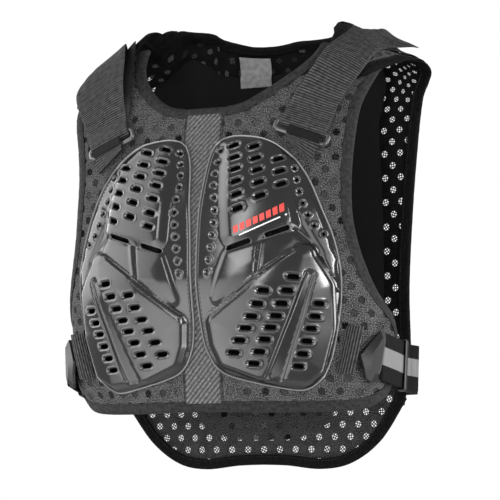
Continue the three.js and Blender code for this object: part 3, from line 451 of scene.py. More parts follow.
def stitches(solid, place, path, lift):
    """Row of thread stitches along a path on the cloth."""
    path = spread(np.asarray(path, float), STITCH["pitch"])
    lift = np.broadcast_to(lift(path) if callable(lift) else lift, len(path))
    centre, normal = surface(place, path[:, 0], path[:, 1], lift)
    step = np.gradient(path, axis=0)
    along = unit(place(*(path + step * 0.1).T) - place(*(path - step * 0.1).T))
    aside = unit(np.cross(normal, along))
    reach = [
        along * STITCH["long"] / 2, aside * STITCH["wide"] / 2, -along * STITCH["long"] / 2,
        -aside * STITCH["wide"] / 2, normal * STITCH["high"] / 2, -normal * STITCH["high"] / 2,
    ]
    points = np.stack([centre + r for r in reach], 1)
    one = [(k, (k + 1) % 4, 4) for k in range(4)] + [((k + 1) % 4, k, 5) for k in range(4)]
    faces = (np.array(one)[None] + 6 * np.arange(len(path))[:, None, None]).reshape(-1, 3)
    solid.add(points, [faces])


def sewn(name, slot, *rows):
    """Piece made of rows of stitches, each with its place, path and lift."""
    solid = Solid()
    for row in rows:
        stitches(solid, *row)
    piece(f"{name}_stitches", solid, THREAD, slot)


class Look:
    """A procedural surface: its nodes and the links between them."""

    def __init__(self, name, grey=None, roughness=None, gloss=None):
        self.material = bpy.data.materials.new(name)
        self.material.use_nodes = True
        self.tree = self.material.node_tree
        self.surface = self.tree.nodes["Principled BSDF"]
        if grey is not None:
            self.surface.inputs["Base Color"].default_value = (grey, grey, grey, 1)
        for socket, value in (("Roughness", roughness), ("Specular IOR Level", gloss)):
            if value is not None:
                self.surface.inputs[socket].default_value = value

    def node(self, kind, *inputs, output=0, **settings):
        node = self.tree.nodes.new("ShaderNode" + kind)
        for key, value in settings.items():
            setattr(node, key, value)
        for socket, value in zip(node.inputs, inputs):
            if isinstance(value, bpy.types.NodeSocket):
                self.tree.links.new(value, socket)
            elif value is not None:
                socket.default_value = value
        return node.outputs[output]

    def math(self, operation, a, b=None):
        return self.node("Math", a, b, operation=operation)

    def times(self, a, b):
        return self.math("MULTIPLY", a, b)

    def plus(self, a, b):
        return self.math("ADD", a, b)

    def flat(self):
        return self.node("Attribute", attribute_name="flat", output=1)

    def tone(self):
        return self.node("Attribute", attribute_name="tone", output=2)

    def toned(self, value):
        """A value that falls to nothing where the tone is 1."""
        return self.times(value, self.math("SUBTRACT", 1.0, self.tone()))

    def ripple(self, direction, period):
        """Sine wave across the flat cloth, period in millimetres."""
        wave = Vector(direction).normalized() * (2 * math.pi / period)
        phase = self.node("VectorMath", self.flat(), wave, operation="DOT_PRODUCT", output=1)
        return self.math("SINE", phase)

    def weave(self, threads, period):
        """Product of one sine wave for each direction of the threads."""
        waves = [self.ripple(direction, period) for direction in threads]
        return functools.reduce(self.times, waves)

    def noise(self, size, detail=3.0):
        """Cloudy noise whose grains measure about that many millimetres."""
        return self.node("TexNoise", self.flat(), None, 1 / size, detail)

    def fit(self, value, low, high):
        return self.node("MapRange", value, 0.0, 1.0, low, high)

    def contrast(self, value, low, high):
        return self.node("MapRange", value, low, high, 0.0, 1.0)

    def shade(self, value, dark, light):
        """Base colour between two greys or colours."""
        ramp = self.tree.nodes.new("ShaderNodeValToRGB")
        for stop, colour in zip(ramp.color_ramp.elements, (dark, light)):
            stop.color = (*[colour] * 3, 1) if np.isscalar(colour) else colour
        self.tree.links.new(value, ramp.inputs[0])
        self.tree.links.new(ramp.outputs[0], self.surface.inputs["Base Color"])

    def bump(self, height, depth):
        """Relief too fine for the mesh, depth in millimetres."""
        node = self.tree.nodes.new("ShaderNodeBump")
        node.inputs["Strength"].default_value = 1.0
        node.inputs["Distance"].default_value = depth * MM
        self.tree.links.new(height, node.inputs["Height"])
        self.tree.links.new(node.outputs[0], self.surface.inputs["Normal"])


def knitted_look():
    """Air mesh: a fine slanted knit with bright filaments, darker where the tone paints shade."""
    look = Look("mesh_cloth", roughness=0.7, gloss=0.05)
    knit = look.times(look.ripple((1, 1, 0), 2.1), look.ripple((1, -1, 0), 2.6))
    grain = look.plus(look.noise(1.2, 3.0), look.times(knit, 0.1))
    bright = look.plus(look.contrast(grain, 0.38, 0.68), look.fit(look.noise(16, 2.0), -0.25, 0.25))
    look.shade(look.toned(bright), 0.002, 0.12)
    look.bump(grain, 1.6)
    return look.material


# Directions of the threads of a square weave, of webbing yarns and of the strip's fine ribs.
SQUARE, YARNS, FINE = ((1, 0, 0), (0, 1, 0)), ((1, 0.25, 0), (1, -0.25, 0)), ((1, 0.9, 0),)


def cloth_look(name, roughness, gloss, threads, period, share, grain, levels, shades):
    """Woven cloth: fine threads and soft clouds, darker where the tone paints shade."""
    look = Look(name, roughness=roughness, gloss=gloss)
    weave = look.weave(threads, period)
    cloud = look.contrast(look.plus(look.times(weave, share), look.noise(grain, 4.0)), *levels)
    look.shade(look.toned(cloud), *shades)
    look.bump(weave, 0.12)
    return look.material


def thread_look():
    look = Look("thread", roughness=0.6, gloss=0.1)
    look.shade(look.noise(2.0), 0.008, 0.03)
    return look.material


def stripe_look():
    """Webbing with a pale woven stripe where the tone says so."""
    look = Look("striped_webbing", roughness=0.62, gloss=0.06)
    yarn = look.weave(YARNS, 1.0)
    cloud = look.times(look.plus(look.noise(5, 3.0), look.times(yarn, 0.15)), 0.03)
    pale = look.times(look.tone(), 0.85)
    look.shade(look.plus(pale, cloud), 0.002, 0.17)
    look.bump(yarn, 0.12)
    return look.material


# Painted highlights: moulded edges are painted paler than the faces beside them, up to this grey; a plate
# keeps that in the third flat value.
PAINTED_HIGHLIGHT_GREY = 0.22


def plastic_look(name, dark, light, low, high, grain=0.0, gloss=0.5):
    """Moulded plastic: soft gloss, faint flow marks, painted highlights from the third flat value, and a
    rough grain where the tone says so.
    """
    look = Look(name, gloss=gloss)
    cloud = look.noise(18, 4.0)
    # Third flat value: painted highlight along moulded edges.
    rim = look.node("SeparateXYZ", look.flat(), output=2)
    pale = look.plus(look.times(cloud, (light - dark) / PAINTED_HIGHLIGHT_GREY), rim)
    look.shade(pale, dark, PAINTED_HIGHLIGHT_GREY)
    rough = look.plus(look.fit(cloud, low, high), look.times(look.tone(), grain))
    look.tree.links.new(rough, look.surface.inputs["Roughness"])
    coarse = look.times(look.tone(), look.noise(2.2, 1.0))
    look.bump(look.plus(look.times(look.noise(0.8, 2.0), 0.03), coarse), 0.8)
    return look.material


def lining_look():
    look = Look("lining_cloth", roughness=0.85, gloss=0.1)
    look.shade(look.noise(12, 3.0), 0.003, 0.006)
    look.bump(look.weave(SQUARE, 0.9), 0.1)
    return look.material


def label_look():
    look = Look("label_cloth", roughness=0.5, gloss=0.3)
    look.shade(look.plus(look.noise(6, 2.0), look.tone()), 0.05, 0.24)
    look.bump(look.ripple((1, 0, 0), 0.8), 0.06)
    return look.material


def paint_look(name, colour):
    look = Look(name, roughness=0.4)
    look.shade(look.noise(5, 3.0), [c * 0.8 for c in colour] + [1], [*colour, 1])
    return look.material


MESH_CLOTH, THREAD, STRIPED, LINING, LABEL = (
    knitted_look(), thread_look(), stripe_look(), lining_look(), label_look()
)
WEBBING = cloth_look("webbing", 0.62, 0.12, YARNS, 1.0, 0.1, 5, (0.1, 0.9), (0.002, 0.12))
TAPE = cloth_look("binding_tape", 0.65, 0.1, SQUARE, 1.1, 0.1, 4, (0.25, 0.75), (0.003, 0.028))
# Darker copy of the binding tape for the back's edges: painted shade.
PAINTED_SHADE_TAPE = cloth_look("painted_shade_tape", 0.65, 0.03, SQUARE, 1.1, 0.1, 4, (0.25, 0.75), (0.001, 0.006))
STRIP = cloth_look("ribbed_strip", 0.5, 0.2, FINE, 1.5, 0.06, 3, (0.15, 0.85), (0.003, 0.2))
PLATE = plastic_look("plate_plastic", 0.006, 0.01, 0.1, 0.16, 0.12)
BUCKLE = plastic_look("buckle_plastic", 0.006, 0.01, 0.34, 0.44, gloss=0.25)
RING = plastic_look("ring_plastic", 0.03, 0.05, 0.14, 0.2)
RED, WHITE = paint_look("red_print", (0.5, 0.03, 0.02)), paint_look("white_print", (0.7, 0.7, 0.7))

# Camera: turned round the vest, from a little below its middle, with a long lens.
AZIMUTH, ELEVATION, DISTANCE = math.radians(21.3), math.radians(-6.7), 2.2
LENS, SENSOR = 144, 36
AIM = Vector((0.0211, 0.0065, -0.2461))


def camera():
    data = bpy.data.cameras.new("camera")
    data.lens, data.sensor_width = LENS, SENSOR
    right = Vector((math.cos(AZIMUTH), math.sin(AZIMUTH), 0))
    level = math.cos(ELEVATION)
    ahead = Vector((-math.sin(AZIMUTH) * level, math.cos(AZIMUTH) * level, -math.sin(ELEVATION)))
    up = right.cross(ahead)
    turn = Matrix((right, up, -ahead)).transposed().to_4x4()
    obj = bpy.data.objects.new("camera", data)
    obj.matrix_world = Matrix.Translation(AIM - ahead * DISTANCE) @ turn
    bpy.context.scene.collection.objects.link(obj)
    bpy.context.scene.camera = obj


# Softboxes: place, width, height and power.
LIGHTS = {
    "left": ((-1.9, -0.55, 0.4), 3.0, 2.0, 116),
    "low": ((-0.62, -1.12, -0.8), 1.9, 0.9, 29),
    "front": ((-0.16, -2.34, 0.2), 0.6, 1.3, 26),
    "right": ((1.4, -1.9, -0.4), 1.2, 1.4, 30),
    "right_strip": ((1.55, -1.55, -0.1), 0.2, 1.0, 26),
    "right_low": ((1.05, -0.6, -0.95), 0.4, 0.8, 12),
    "left_strip": ((-1.95, 0.79, 0.03), 0.4, 0.9, 10),
    "rim": ((1.9, 0.62, -0.05), 0.9, 2.0, 105),
}
LIGHT_AIM = Vector((0, 0, -0.25))
FLOOR_Z, FLOOR_HALF, FLOOR_GREY, FLOOR_ROUGH = -1.25, 30.0, 0.9, 0.9
WORLD_LIGHT, BACKDROP = 0.55, 1.02
# A grid over each softbox dims it towards its edges.
GRID = 1.5


def studio():
    for name, (place, width, height, power) in LIGHTS.items():
        data = bpy.data.lights.new(name, "AREA")
        data.shape, data.size, data.size_y = "RECTANGLE", width, height
        obj = bpy.data.objects.new(name, data)
        obj.location = place
        edge = GRID * max(width, height) / 2 / (LIGHT_AIM - obj.location).length
        data.spread = 2 * math.atan(edge)
        data.energy = power * (1 - math.atan(edge) / edge)
        obj.rotation_euler = (LIGHT_AIM - obj.location).to_track_quat("-Z", "Y").to_euler()
        bpy.context.scene.collection.objects.link(obj)
    world = bpy.data.worlds.new("studio")
    world.use_nodes = True
    bpy.context.scene.world = world
    bpy.context.scene.view_settings.view_transform = "Standard"
    tree = world.node_tree
    light, backdrop = tree.nodes["Background"], tree.nodes.new("ShaderNodeBackground")
    for node, strength in ((light, WORLD_LIGHT), (backdrop, BACKDROP)):
        node.inputs["Color"].default_value = (1, 1, 1, 1)
        node.inputs["Strength"].default_value = strength
    rays, mix = tree.nodes.new("ShaderNodeLightPath"), tree.nodes.new("ShaderNodeMixShader")
    tree.links.new(rays.outputs["Is Camera Ray"], mix.inputs[0])
    tree.links.new(light.outputs[0], mix.inputs[1])
    tree.links.new(backdrop.outputs[0], mix.inputs[2])
    tree.links.new(mix.outputs[0], tree.nodes["World Output"].inputs["Surface"])
    square = ((-1, -1), (1, -1), (1, 1), (-1, 1))
    corners = [(x * FLOOR_HALF, y * FLOOR_HALF, FLOOR_Z) for x, y in square]
    mesh = bpy.data.meshes.new("floor")
    mesh.from_pydata(corners, [], [(0, 1, 2, 3)])
    floor = bpy.data.objects.new("floor", mesh)
    mesh.materials.append(Look("floor", FLOOR_GREY, FLOOR_ROUGH).material)
    bpy.context.scene.collection.objects.link(floor)


camera()
studio()

# Seam lines at their drawing step.
NECK, SHOULDER = spline(FRONT_TOP[:7]), spline(FRONT_TOP[6:])
ARM, SIDE_EDGE, HEM = spline(FRONT_OUTER[:10]), spline(FRONT_OUTER[9:]), spline(FRONT_HEM)
BACK_NECK, FLAP_END = spline(BACK_TOP[:7]), spline(BACK_TOP[6:])
BACK_EDGE, TAIL = spline(BACK_OUTER), spline(BACK_TAIL)


def flap_lifts(path):
    """Lifts of the two faces of the back cloth: raised where the shoulder flap lies over the front."""
    rise = smooth(*FLAP_RISE, path[..., 1])
    return FLAP_LIFT * rise, PANEL + (FLAP_LIFT + FLAP_THICK - PANEL) * rise


def panel_lifts(path):
    return np.zeros(path.shape[:-1]), np.full(path.shape[:-1], float(PANEL))


# Air mesh: pitch of its staggered holes, hole size, and the rings of points round a hole.
HOLE_PITCH = (19.2, 13.6)
HOLE_RINGS = ((3.8, -0.9), (4.6, -0.15), (5.6, 0.1))
# Sides of a hole, lift of the cell edge, and painted shade on the inner face of the mesh.
HOLE_SIDES, CELL_LIFT, INNER_PAINTED_SHADE = 12, -0.05, 0.8
# Painted shade on points that lie deep in a hole, how deep that is, and how far the underside follows.
HOLE_PAINTED_SHADE, HOLE_DEEP, UNDER_DROP = 0.3, -0.5, 0.4
NET = {"offset": 1.3, "reach": 4.2, "wide": 1.2, "high": 0.5, "tone": 0.3, "sunk": 0.7}


def cell_edge():
    """Points round one cell of the mesh, in step with the sides of its hole."""
    x, y = HOLE_PITCH[0] / 4, HOLE_PITCH[1] / 2
    half = [(2 * x, 0), (2 * x, y), (x, y), (0, y), (-x, y), (-2 * x, y)]
    return np.array(half + [(-a, -b) for a, b in half])


def hole_centres(outline):
    low, high = outline.min(0) - HOLE_PITCH, outline.max(0) + HOLE_PITCH
    rows = np.arange(math.floor(low[1] / HOLE_PITCH[1]), math.ceil(high[1] / HOLE_PITCH[1]) + 1)
    columns = np.arange(math.floor(low[0] / HOLE_PITCH[0]), math.ceil(high[0] / HOLE_PITCH[0]) + 1)
    row, column = np.meshgrid(rows, columns, indexing="ij")
    shift = (row % 2) / 2
    return np.stack([(column + shift) * HOLE_PITCH[0], row * HOLE_PITCH[1]], -1).reshape(-1, 2)


def holed_cloth(solid, place, outline, lifts, thick, under, shade):
    """Sheet of mesh cloth inside an outline, pierced by staggered holes with a net across each."""
    centres = hole_centres(outline)
    angle = 2 * math.pi * np.arange(HOLE_SIDES) / HOLE_SIDES
    circle = np.stack([np.cos(angle), np.sin(angle)], -1)
    loops = [(circle * radius, drop) for radius, drop in HOLE_RINGS] + [(cell_edge(), CELL_LIFT)]
    flat = np.concatenate([centres[:, None] + loop for loop, _ in loops], 1).reshape(-1, 2)
    drop = np.tile(np.repeat([d for _, d in loops], HOLE_SIDES), len(centres))
    around = np.arange(HOLE_SIDES)
    ahead = (around + 1) % HOLE_SIDES
    cell = [np.stack([k + around, k + HOLE_SIDES + around, k + HOLE_SIDES + ahead, k + ahead], -1)
            for k in range(0, len(HOLE_RINGS) * HOLE_SIDES, HOLE_SIDES)]
    size = len(loops) * HOLE_SIDES
    faces = (np.concatenate(cell)[None] + size * np.arange(len(centres))[:, None, None]).reshape(-1, 4)
    _, first, same = np.unique(np.round(flat, 2), axis=0, return_index=True, return_inverse=True)
    flat, drop, faces = flat[first], drop[first], same.reshape(-1)[faces]
    faces = faces[within(flat[faces].mean(1), outline)]
    used, faces = np.unique(faces, return_inverse=True)
    flat, drop, faces = flat[used], drop[used], faces.reshape(-1, 4)
    _, above = lifts(flat)
    # Painted shade deep in the holes and where the shade function says; the underside takes its own painted
    # shade.
    tone = np.maximum(HOLE_PAINTED_SHADE * (drop < HOLE_DEEP), shade(flat))
    layer(solid, place, flat, faces, above + drop, above - thick - UNDER_DROP * drop, tone, under(flat))
    net(solid, place, centres[within(centres, outline)], lifts, thick, shade)


def net(solid, place, centres, lifts, thick, shade):
    """Two pairs of crossing threads over each hole."""
    turn = RANDOM.uniform(0, math.pi, len(centres))
    corners = np.array([(-0.5, 0), (0.5, 0), (0, 1)])
    for quarter in (0, math.pi / 2):
        along = np.stack([np.cos(turn + quarter), np.sin(turn + quarter)], -1)
        aside = np.stack([-along[:, 1], along[:, 0]], -1)
        for offset in (-NET["offset"], NET["offset"]):
            rows = []
            for end in (-NET["reach"], NET["reach"]):
                for wide, high in corners:
                    flat = centres + along * end + aside * (offset + wide * NET["wide"])
                    _, above = lifts(flat)
                    rows.append(lifted(place, flat, above - thick * NET["sunk"] + high * NET["high"]))
            points = np.stack(rows, 1)
            one = np.array([(k, (k + 1) % 3, (k + 1) % 3 + 3, k + 3) for k in range(3)])
            ends = np.array([(2, 1, 0), (3, 4, 5)])
            step = 6 * np.arange(len(centres))[:, None, None]
            faces = [(one + step).reshape(-1, 4), (ends + step).reshape(-1, 3)]
            flat = np.repeat(centres, 6, 0)
            solid.add(points, faces, flat, np.maximum(NET["tone"], shade(flat)))


# Front panels: the mesh face over an inner layer painted dark as the shade seen through the holes, and
# painted black as shade where a plate covers it.
CLOTH_REACH, MESH_THICK, BACKING_THICK, PLATE_PAINTED_SHADE = 3.0, 1.8, 4.0, 0.97
PLATE_MARGIN, FRONT_GRID = 3, (24, 50)


def front_panels():
    outline = np.concatenate([NECK, SHOULDER[1:], ARM[1:], SIDE_EDGE[1:], HEM[::-1][1:]])
    solid = Solid()
    plate = chest_outline()

    def inside(flat):
        return np.full(len(flat), INNER_PAINTED_SHADE)

    # Painted shade: black under each plate, so its slots look dark.
    def shade(flat):
        return PLATE_PAINTED_SHADE * (outline_depth(flat, plate) > PLATE_MARGIN)

    holed_cloth(solid, front_point, grown(outline, CLOTH_REACH), panel_lifts, MESH_THICK, inside, shade)
    top, outer = np.concatenate([NECK, SHOULDER[1:]]), np.concatenate([ARM, SIDE_EDGE[1:]])
    grid = coons(top, HEM, np.array([NECK[0], HEM[0]]), outer, *FRONT_GRID)
    flat, faces = grid.reshape(-1, 2), grid_faces(*grid.shape[:2])
    # Inner layer with painted shade, black under the plates.
    layer(solid, front_point, flat, faces, BACKING_THICK, 0.0, np.maximum(HOLE_PAINTED_SHADE, shade(flat)))
    for cloth in both_sides(("front_panel", solid, MESH_CLOTH, "mesh_cloth", 40)):
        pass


# Painted shade on the back's inside, how much less of it on the tail, and between which lengths.
BACK_MESH_THICK, BACK_INSIDE_PAINTED_SHADE, TAIL_LESS, TAIL_SHADE = 2.4, 0.95, 0.45, (-470, -400)
# Plain yoke over the outside of the mesh below the collar.
YOKE_TOP = [(0, -60), (40, -56), (76, -44), (104, -24), (117, 8), (121, 45), (124, 70)]
YOKE_LOW = [(0, -122), (60, -120), (112, -92), (142, -50), (151, 0), (152, 40)]
YOKE_FACES, YOKE_TONES, YOKE_GRID = (0.75, 0.2), (0.3, 0.9), (40, 24)


def back_cloth():
    half = np.concatenate([BACK_NECK, FLAP_END[1:], BACK_EDGE[1:], TAIL[::-1][1:]])
    outline = np.concatenate([half, mirrored_line(half)])
    solid = Solid()

    # Painted shade on the inner face, lighter on the tail.
    def inside(flat):
        return BACK_INSIDE_PAINTED_SHADE - TAIL_LESS * (1 - smooth(*TAIL_SHADE, flat[:, 1]))

    def shade(flat):
        return np.zeros(len(flat))

    holed_cloth(solid, over_point, grown(outline, CLOTH_REACH), flap_lifts, BACK_MESH_THICK, inside, shade)
    grid = coons(spline(YOKE_TOP), spline(YOKE_LOW), np.array([YOKE_TOP[0], YOKE_LOW[0]], float),
                 np.array([YOKE_TOP[-1], YOKE_LOW[-1]], float), *YOKE_GRID)
    grid = whole_grid(grid)
    flat, faces = grid.reshape(-1, 2), grid_faces(*grid.shape[:2])
    _, above = flap_lifts(flat)
    layer(solid, over_point, flat, faces, above + YOKE_FACES[0], above + YOKE_FACES[1], *YOKE_TONES)
    piece("back_panel", solid, MESH_CLOTH, "mesh_cloth", "back_panel")


# Binding: half of its section, as distance from the seam and lift over the cloth's face.
BINDING_SECTION = (
    (-0.6, -0.5), (-0.5, 0.85), (0.6, 1.05), (1.7, 0.8), (2.8, 1.05), (6.5, 0.85), (9.2, 0.1), (10.6, -1.3),
)
BINDING_END, STITCH_LINE, STITCH_LIFT = 11.1, 1.7, 0.95
# Unevenness of the tape, and the two beats along it.
TAPE_WAVE, TAPE_BEATS = 0.16, (1.3, 0.37)


def binding(name, path, side, place, lifts, material=TAPE):
    """Tape folded over an edge of the cloth, with a row of stitches on both faces."""
    out = outward(path, side)
    below, above = lifts(path)
    first, second = (np.sin(np.arange(len(path)) * beat) for beat in TAPE_BEATS)
    wave = TAPE_WAVE * first * second
    section = [(w, above + rise + wave * (w > 1)) for w, rise in BINDING_SECTION]
    section.append((BINDING_END, (above + below) / 2))
    section += [(w, below - rise - wave * (w > 1)) for w, rise in BINDING_SECTION[::-1]]
    rows = np.stack([lifted(place, path + out * w, lift) for w, lift in section], 1)
    length = run_length(path)
    width = np.cumsum([0] + [math.hypot(b[0] - a[0], 1) for a, b in zip(section[:-1], section[1:])])
    flat = np.stack(np.meshgrid(length, width, indexing="ij"), -1).reshape(-1, 2)
    solid = Solid()
    tube(solid, rows, flat=flat)
    piece(name, solid, material, "binding_tape", name, angle=60)
    line = path + out * STITCH_LINE
    faces = (lambda p: lifts(p)[1] + STITCH_LIFT), (lambda p: lifts(p)[0] - STITCH_LIFT)
    sewn(name, "binding_tape", *((place, line, lift) for lift in faces))


def bindings():
    binding("neck_binding", whole(NECK), 1, front_point, panel_lifts)
    hem = np.concatenate([HEM, SIDE_EDGE[::-1][1:]])
    binding("hem_binding", whole(hem), -1, front_point, panel_lifts)
    binding("back_neck_binding", whole(BACK_NECK), -1, over_point, flap_lifts, PAINTED_SHADE_TAPE)
    tail = np.concatenate([TAIL, [2 * TAIL[-1] - TAIL[-3]]])
    binding("tail_binding", whole(tail), 1, over_point, flap_lifts, PAINTED_SHADE_TAPE)
    edge = np.concatenate([FLAP_END, BACK_EDGE[1:], [2 * BACK_EDGE[-1] - BACK_EDGE[-3]]])
    for sign, side in ((1, "left"), (-1, "right")):
        binding(f"arm_binding_{side}", ARM * (sign, 1), sign, front_point, panel_lifts)
        binding(f"back_side_binding_{side}", edge * (sign, 1), -sign, over_point, flap_lifts, PAINTED_SHADE_TAPE)


# Centre strip: slanted ribs between two sewn seams.
RIB = {"pitch": 6.2, "high": 1.1, "slant": 1.15, "step": 0.9}
STRIP_TOP, STRIP_LOW, STRIP_SEAM = 154, 459, 2.4
STRIP_SEWN, STRIP_SEWN_LIFT, STRIP_COLUMNS, STRIP_SINK = 1.4, PANEL + 0.15, 41, 0.5
# Rolled edge of the strip, height and width; its sewn groove, depth and width; painted shade between ribs.
STRIP_ROLL, STRIP_GROOVE, STRIP_PAINTED_SHADE, STRIP_CURVE = (0.9, 1.2), (0.8, 0.8), 0.97, 1.6


def centre_strip():
    s = np.linspace(-STRIP_HALF - 1, STRIP_HALF + 1, STRIP_COLUMNS)
    run = np.arange(STRIP_TOP - 2, STRIP_LOW + 2, RIB["step"])
    flat = np.stack(np.meshgrid(s, run), -1).reshape(-1, 2)
    phase = (flat[:, 1] + flat[:, 0] * RIB["slant"]) / RIB["pitch"]
    edge = STRIP_HALF + 1 - np.abs(flat[:, 0])
    rib = RIB["high"] * np.abs(np.sin(math.pi * phase)) * smooth(STRIP_SEAM, STRIP_SEAM + 2, edge)
    roll = STRIP_ROLL[0] * smooth(0, STRIP_ROLL[1], edge)
    roll -= STRIP_GROOVE[0] * np.exp(-((edge - STRIP_SEAM) / STRIP_GROOVE[1]) ** 2)
    solid, faces = Solid(), grid_faces(len(run), len(s))
    # Painted shade in the grooves between the ribs.
    groove = STRIP_PAINTED_SHADE * (1 - (rib / RIB["high"]) ** STRIP_CURVE)
    layer(solid, front_point, flat, faces, PANEL - STRIP_SINK + rib + roll, 0.0, groove)
    piece("centre_strip", solid, STRIP, "ribbed_strip", "centre_strip", angle=70)
    sides = (STRIP_SEWN - STRIP_HALF, STRIP_HALF - STRIP_SEWN)
    rows = [np.array([(x, STRIP_TOP), (x, STRIP_LOW)]) for x in sides]
    sewn("centre_strip", "ribbed_strip", *((front_point, row, STRIP_SEWN_LIFT) for row in rows))


# Moulded plates: lift of the flange, thickness, steps of the mesh, loops along the rim, reach of a crown.
FLANGE_LIFT, SHELL_THICK = 9.6, 2.4
LATTICE, LOOP_STEP = 1.9, 1.5
BEAD_LOOPS, CROWN_REACH = (0.0, 0.5, 1.0, 1.6, 2.4, 3.4), 34.0
# Slots: width of the lip, curve of the recess, and the loops of points round each.
SLOT_LIP, SLOT_CURVE, SLOT_LOOPS = 1.1, 1.25, ((0, 0), (0.5, 0), (1, 0), (1, 0.5), (1, 1.1))
# Along the rim: bead and groove (height, place, width), rounded edge (drop, width).
RIM_BEAD, RIM_GROOVE, RIM_ROUND = (1.1, 1.0, 0.65), (-0.6, 2.4, 0.55), (0.9, 0.7)
# Painted highlights along the edges of the plate and round its slots: strength, place and width.
EDGE_PAINTED_HIGHLIGHT, SLOT_PAINTED_HIGHLIGHT = (1.0, 0.9, 0.7), (0.18, 0.4, 0.4)
# Room, in steps of the mesh, between its inner points and the rim, the slots and the moulded lines.
RIM_ROOM, SLOT_ROOM, LINE_ROOM = 0.7, 0.6, 0.5


class Slot:
    """A pierced slot: its opening inside a wider sunk recess with a raised lip."""

    def __init__(self, centre, along, opening, recess, depth, lip=0.2):
        self.centre, self.along = np.array(centre, float), unit(np.array(along, float))
        self.aside = np.array([-self.along[1], self.along[0]])
        self.opening, self.recess, self.depth, self.lip = opening, recess, depth, lip

    def loop(self, share, extra=0.0):
        """Outline between the opening (0) and the recess (1), or outside it by some distance."""
        length, width = (a + (b - a) * share for a, b in zip(self.opening, self.recess))
        radius, straight = width / 2 + extra, (length - width) / 2
        count = max(5, int(round(math.pi * radius / LOOP_STEP)) + 1)
        angle = np.linspace(-math.pi / 2, math.pi / 2, count)
        half = np.stack([straight + radius * np.cos(angle), radius * np.sin(angle)], -1)
        if straight > 0:
            middle = np.linspace(straight, -straight, max(2, int(2 * straight / LOOP_STEP)) + 1)[1:-1]
            half = np.concatenate([half, np.stack([middle, np.full(len(middle), radius)], -1)])
        ring = np.concatenate([half, -half] if straight > 0 else [half[:-1], -half[:-1]])
        return self.centre + ring[:, :1] * self.along + ring[:, 1:] * self.aside

    def distance(self, points, size):
        offset = points - self.centre
        a, b = np.abs(offset @ self.along), offset @ self.aside
        return np.hypot(np.maximum(a - (size[0] - size[1]) / 2, 0), b) - size[1] / 2

    def relief(self, points):
        outer, inner = self.distance(points, self.recess), self.distance(points, self.opening)
        share = np.clip(-outer / np.maximum(inner - outer, 1e-6), 0, 1)
        lip = self.lip * np.sin(math.pi * np.clip(outer / SLOT_LIP, 0, 1))
        return lip - self.depth * share ** SLOT_CURVE


def plateau(points, corners, rise, bevel, crown, soft, corner):
    """Raised field with sloping sides, rounded corners and a crowned top."""
    depth = bevel + corner + outline_depth(points, inset(corners, bevel + corner))
    share, inner = np.clip(depth / bevel, 0, 1), np.clip(depth / CROWN_REACH, 0, 1)
    return rise * (share + soft * (smooth(0, 1, share) - share)) + crown * inner * (2 - inner)


def bell(value, high, place, width):
    return high * np.exp(-((value - place) / width) ** 2)


def edge_bead(depth):
    """Relief along the rim of a plate: rounded edge, raised bead and a fine groove inside it."""
    drop, width = RIM_ROUND
    return bell(depth, *RIM_BEAD) + bell(depth, *RIM_GROOVE) - drop * (1 - smooth(0, width, depth))


def moulded_plate(name, place, outline, relief, slots, lines, sign=1, flange=FLANGE_LIFT, tone=None):
    """Thin moulded plate whose face follows a relief, pierced by slots."""
    loops = [grown(outline, -by) for by in BEAD_LOOPS]
    loops += [slot.loop(*place) for slot in slots for place in SLOT_LOOPS]
    low, high = outline.min(0), outline.max(0)
    x, y = np.arange(low[0], high[0], LATTICE), np.arange(low[1], high[1], LATTICE * math.sqrt(3) / 2)
    lattice = np.stack(np.meshgrid(x, y), -1)
    lattice[1::2, :, 0] += LATTICE / 2
    lattice = lattice.reshape(-1, 2)
    free = outline_depth(lattice, outline) > BEAD_LOOPS[-1] + RIM_ROOM * LATTICE
    for slot in slots:
        free &= slot.distance(lattice, slot.recess) > SLOT_LIP + SLOT_ROOM * LATTICE
    for line in lines:
        free &= line_distance(lattice, line) > LINE_ROOM * LATTICE
    points, edges = [lattice[free]], []
    count = int(free.sum())
    for k, line in enumerate([*loops, *lines]):
        closed = k < len(loops)
        index = np.arange(len(line)) + count
        ahead = np.roll(index, -1).tolist()
        edges += list(zip(index.tolist(), ahead))[: None if closed else -1]
        points.append(line)
        count += len(line)
    made = delaunay_2d_cdt([Vector(p) for p in np.concatenate(points).tolist()], edges, [], 0, 1e-4, False)
    flat, faces = np.array([tuple(p) for p in made[0]]), np.array([tuple(f) for f in made[2]])
    middle = flat[faces].mean(1)
    kept = within(middle, outline)
    for slot in slots:
        kept &= slot.distance(middle, slot.opening) > 0
    used, faces = np.unique(faces[kept], return_inverse=True)
    flat, faces = flat[used], faces.reshape(-1, 3)
    depth = outline_depth(flat, outline)
    lift = flange + edge_bead(depth) + relief(flat)
    # Painted highlight along the rim and round each slot, kept in the third flat value.
    rim = bell(depth, *EDGE_PAINTED_HIGHLIGHT)
    for slot in slots:
        lift += slot.relief(flat)
        rim = np.maximum(rim, bell(slot.distance(flat, slot.recess), *SLOT_PAINTED_HIGHLIGHT))
    solid = Solid()
    top, bottom = (lifted(place, flat * (sign, 1), level) for level in (lift, lift - SHELL_THICK))
    shell(solid, top, bottom, [faces], np.column_stack([flat, rim]), 0.0 if tone is None else tone(flat))
    piece(name, solid, PLATE, "plate_plastic", name, angle=38)


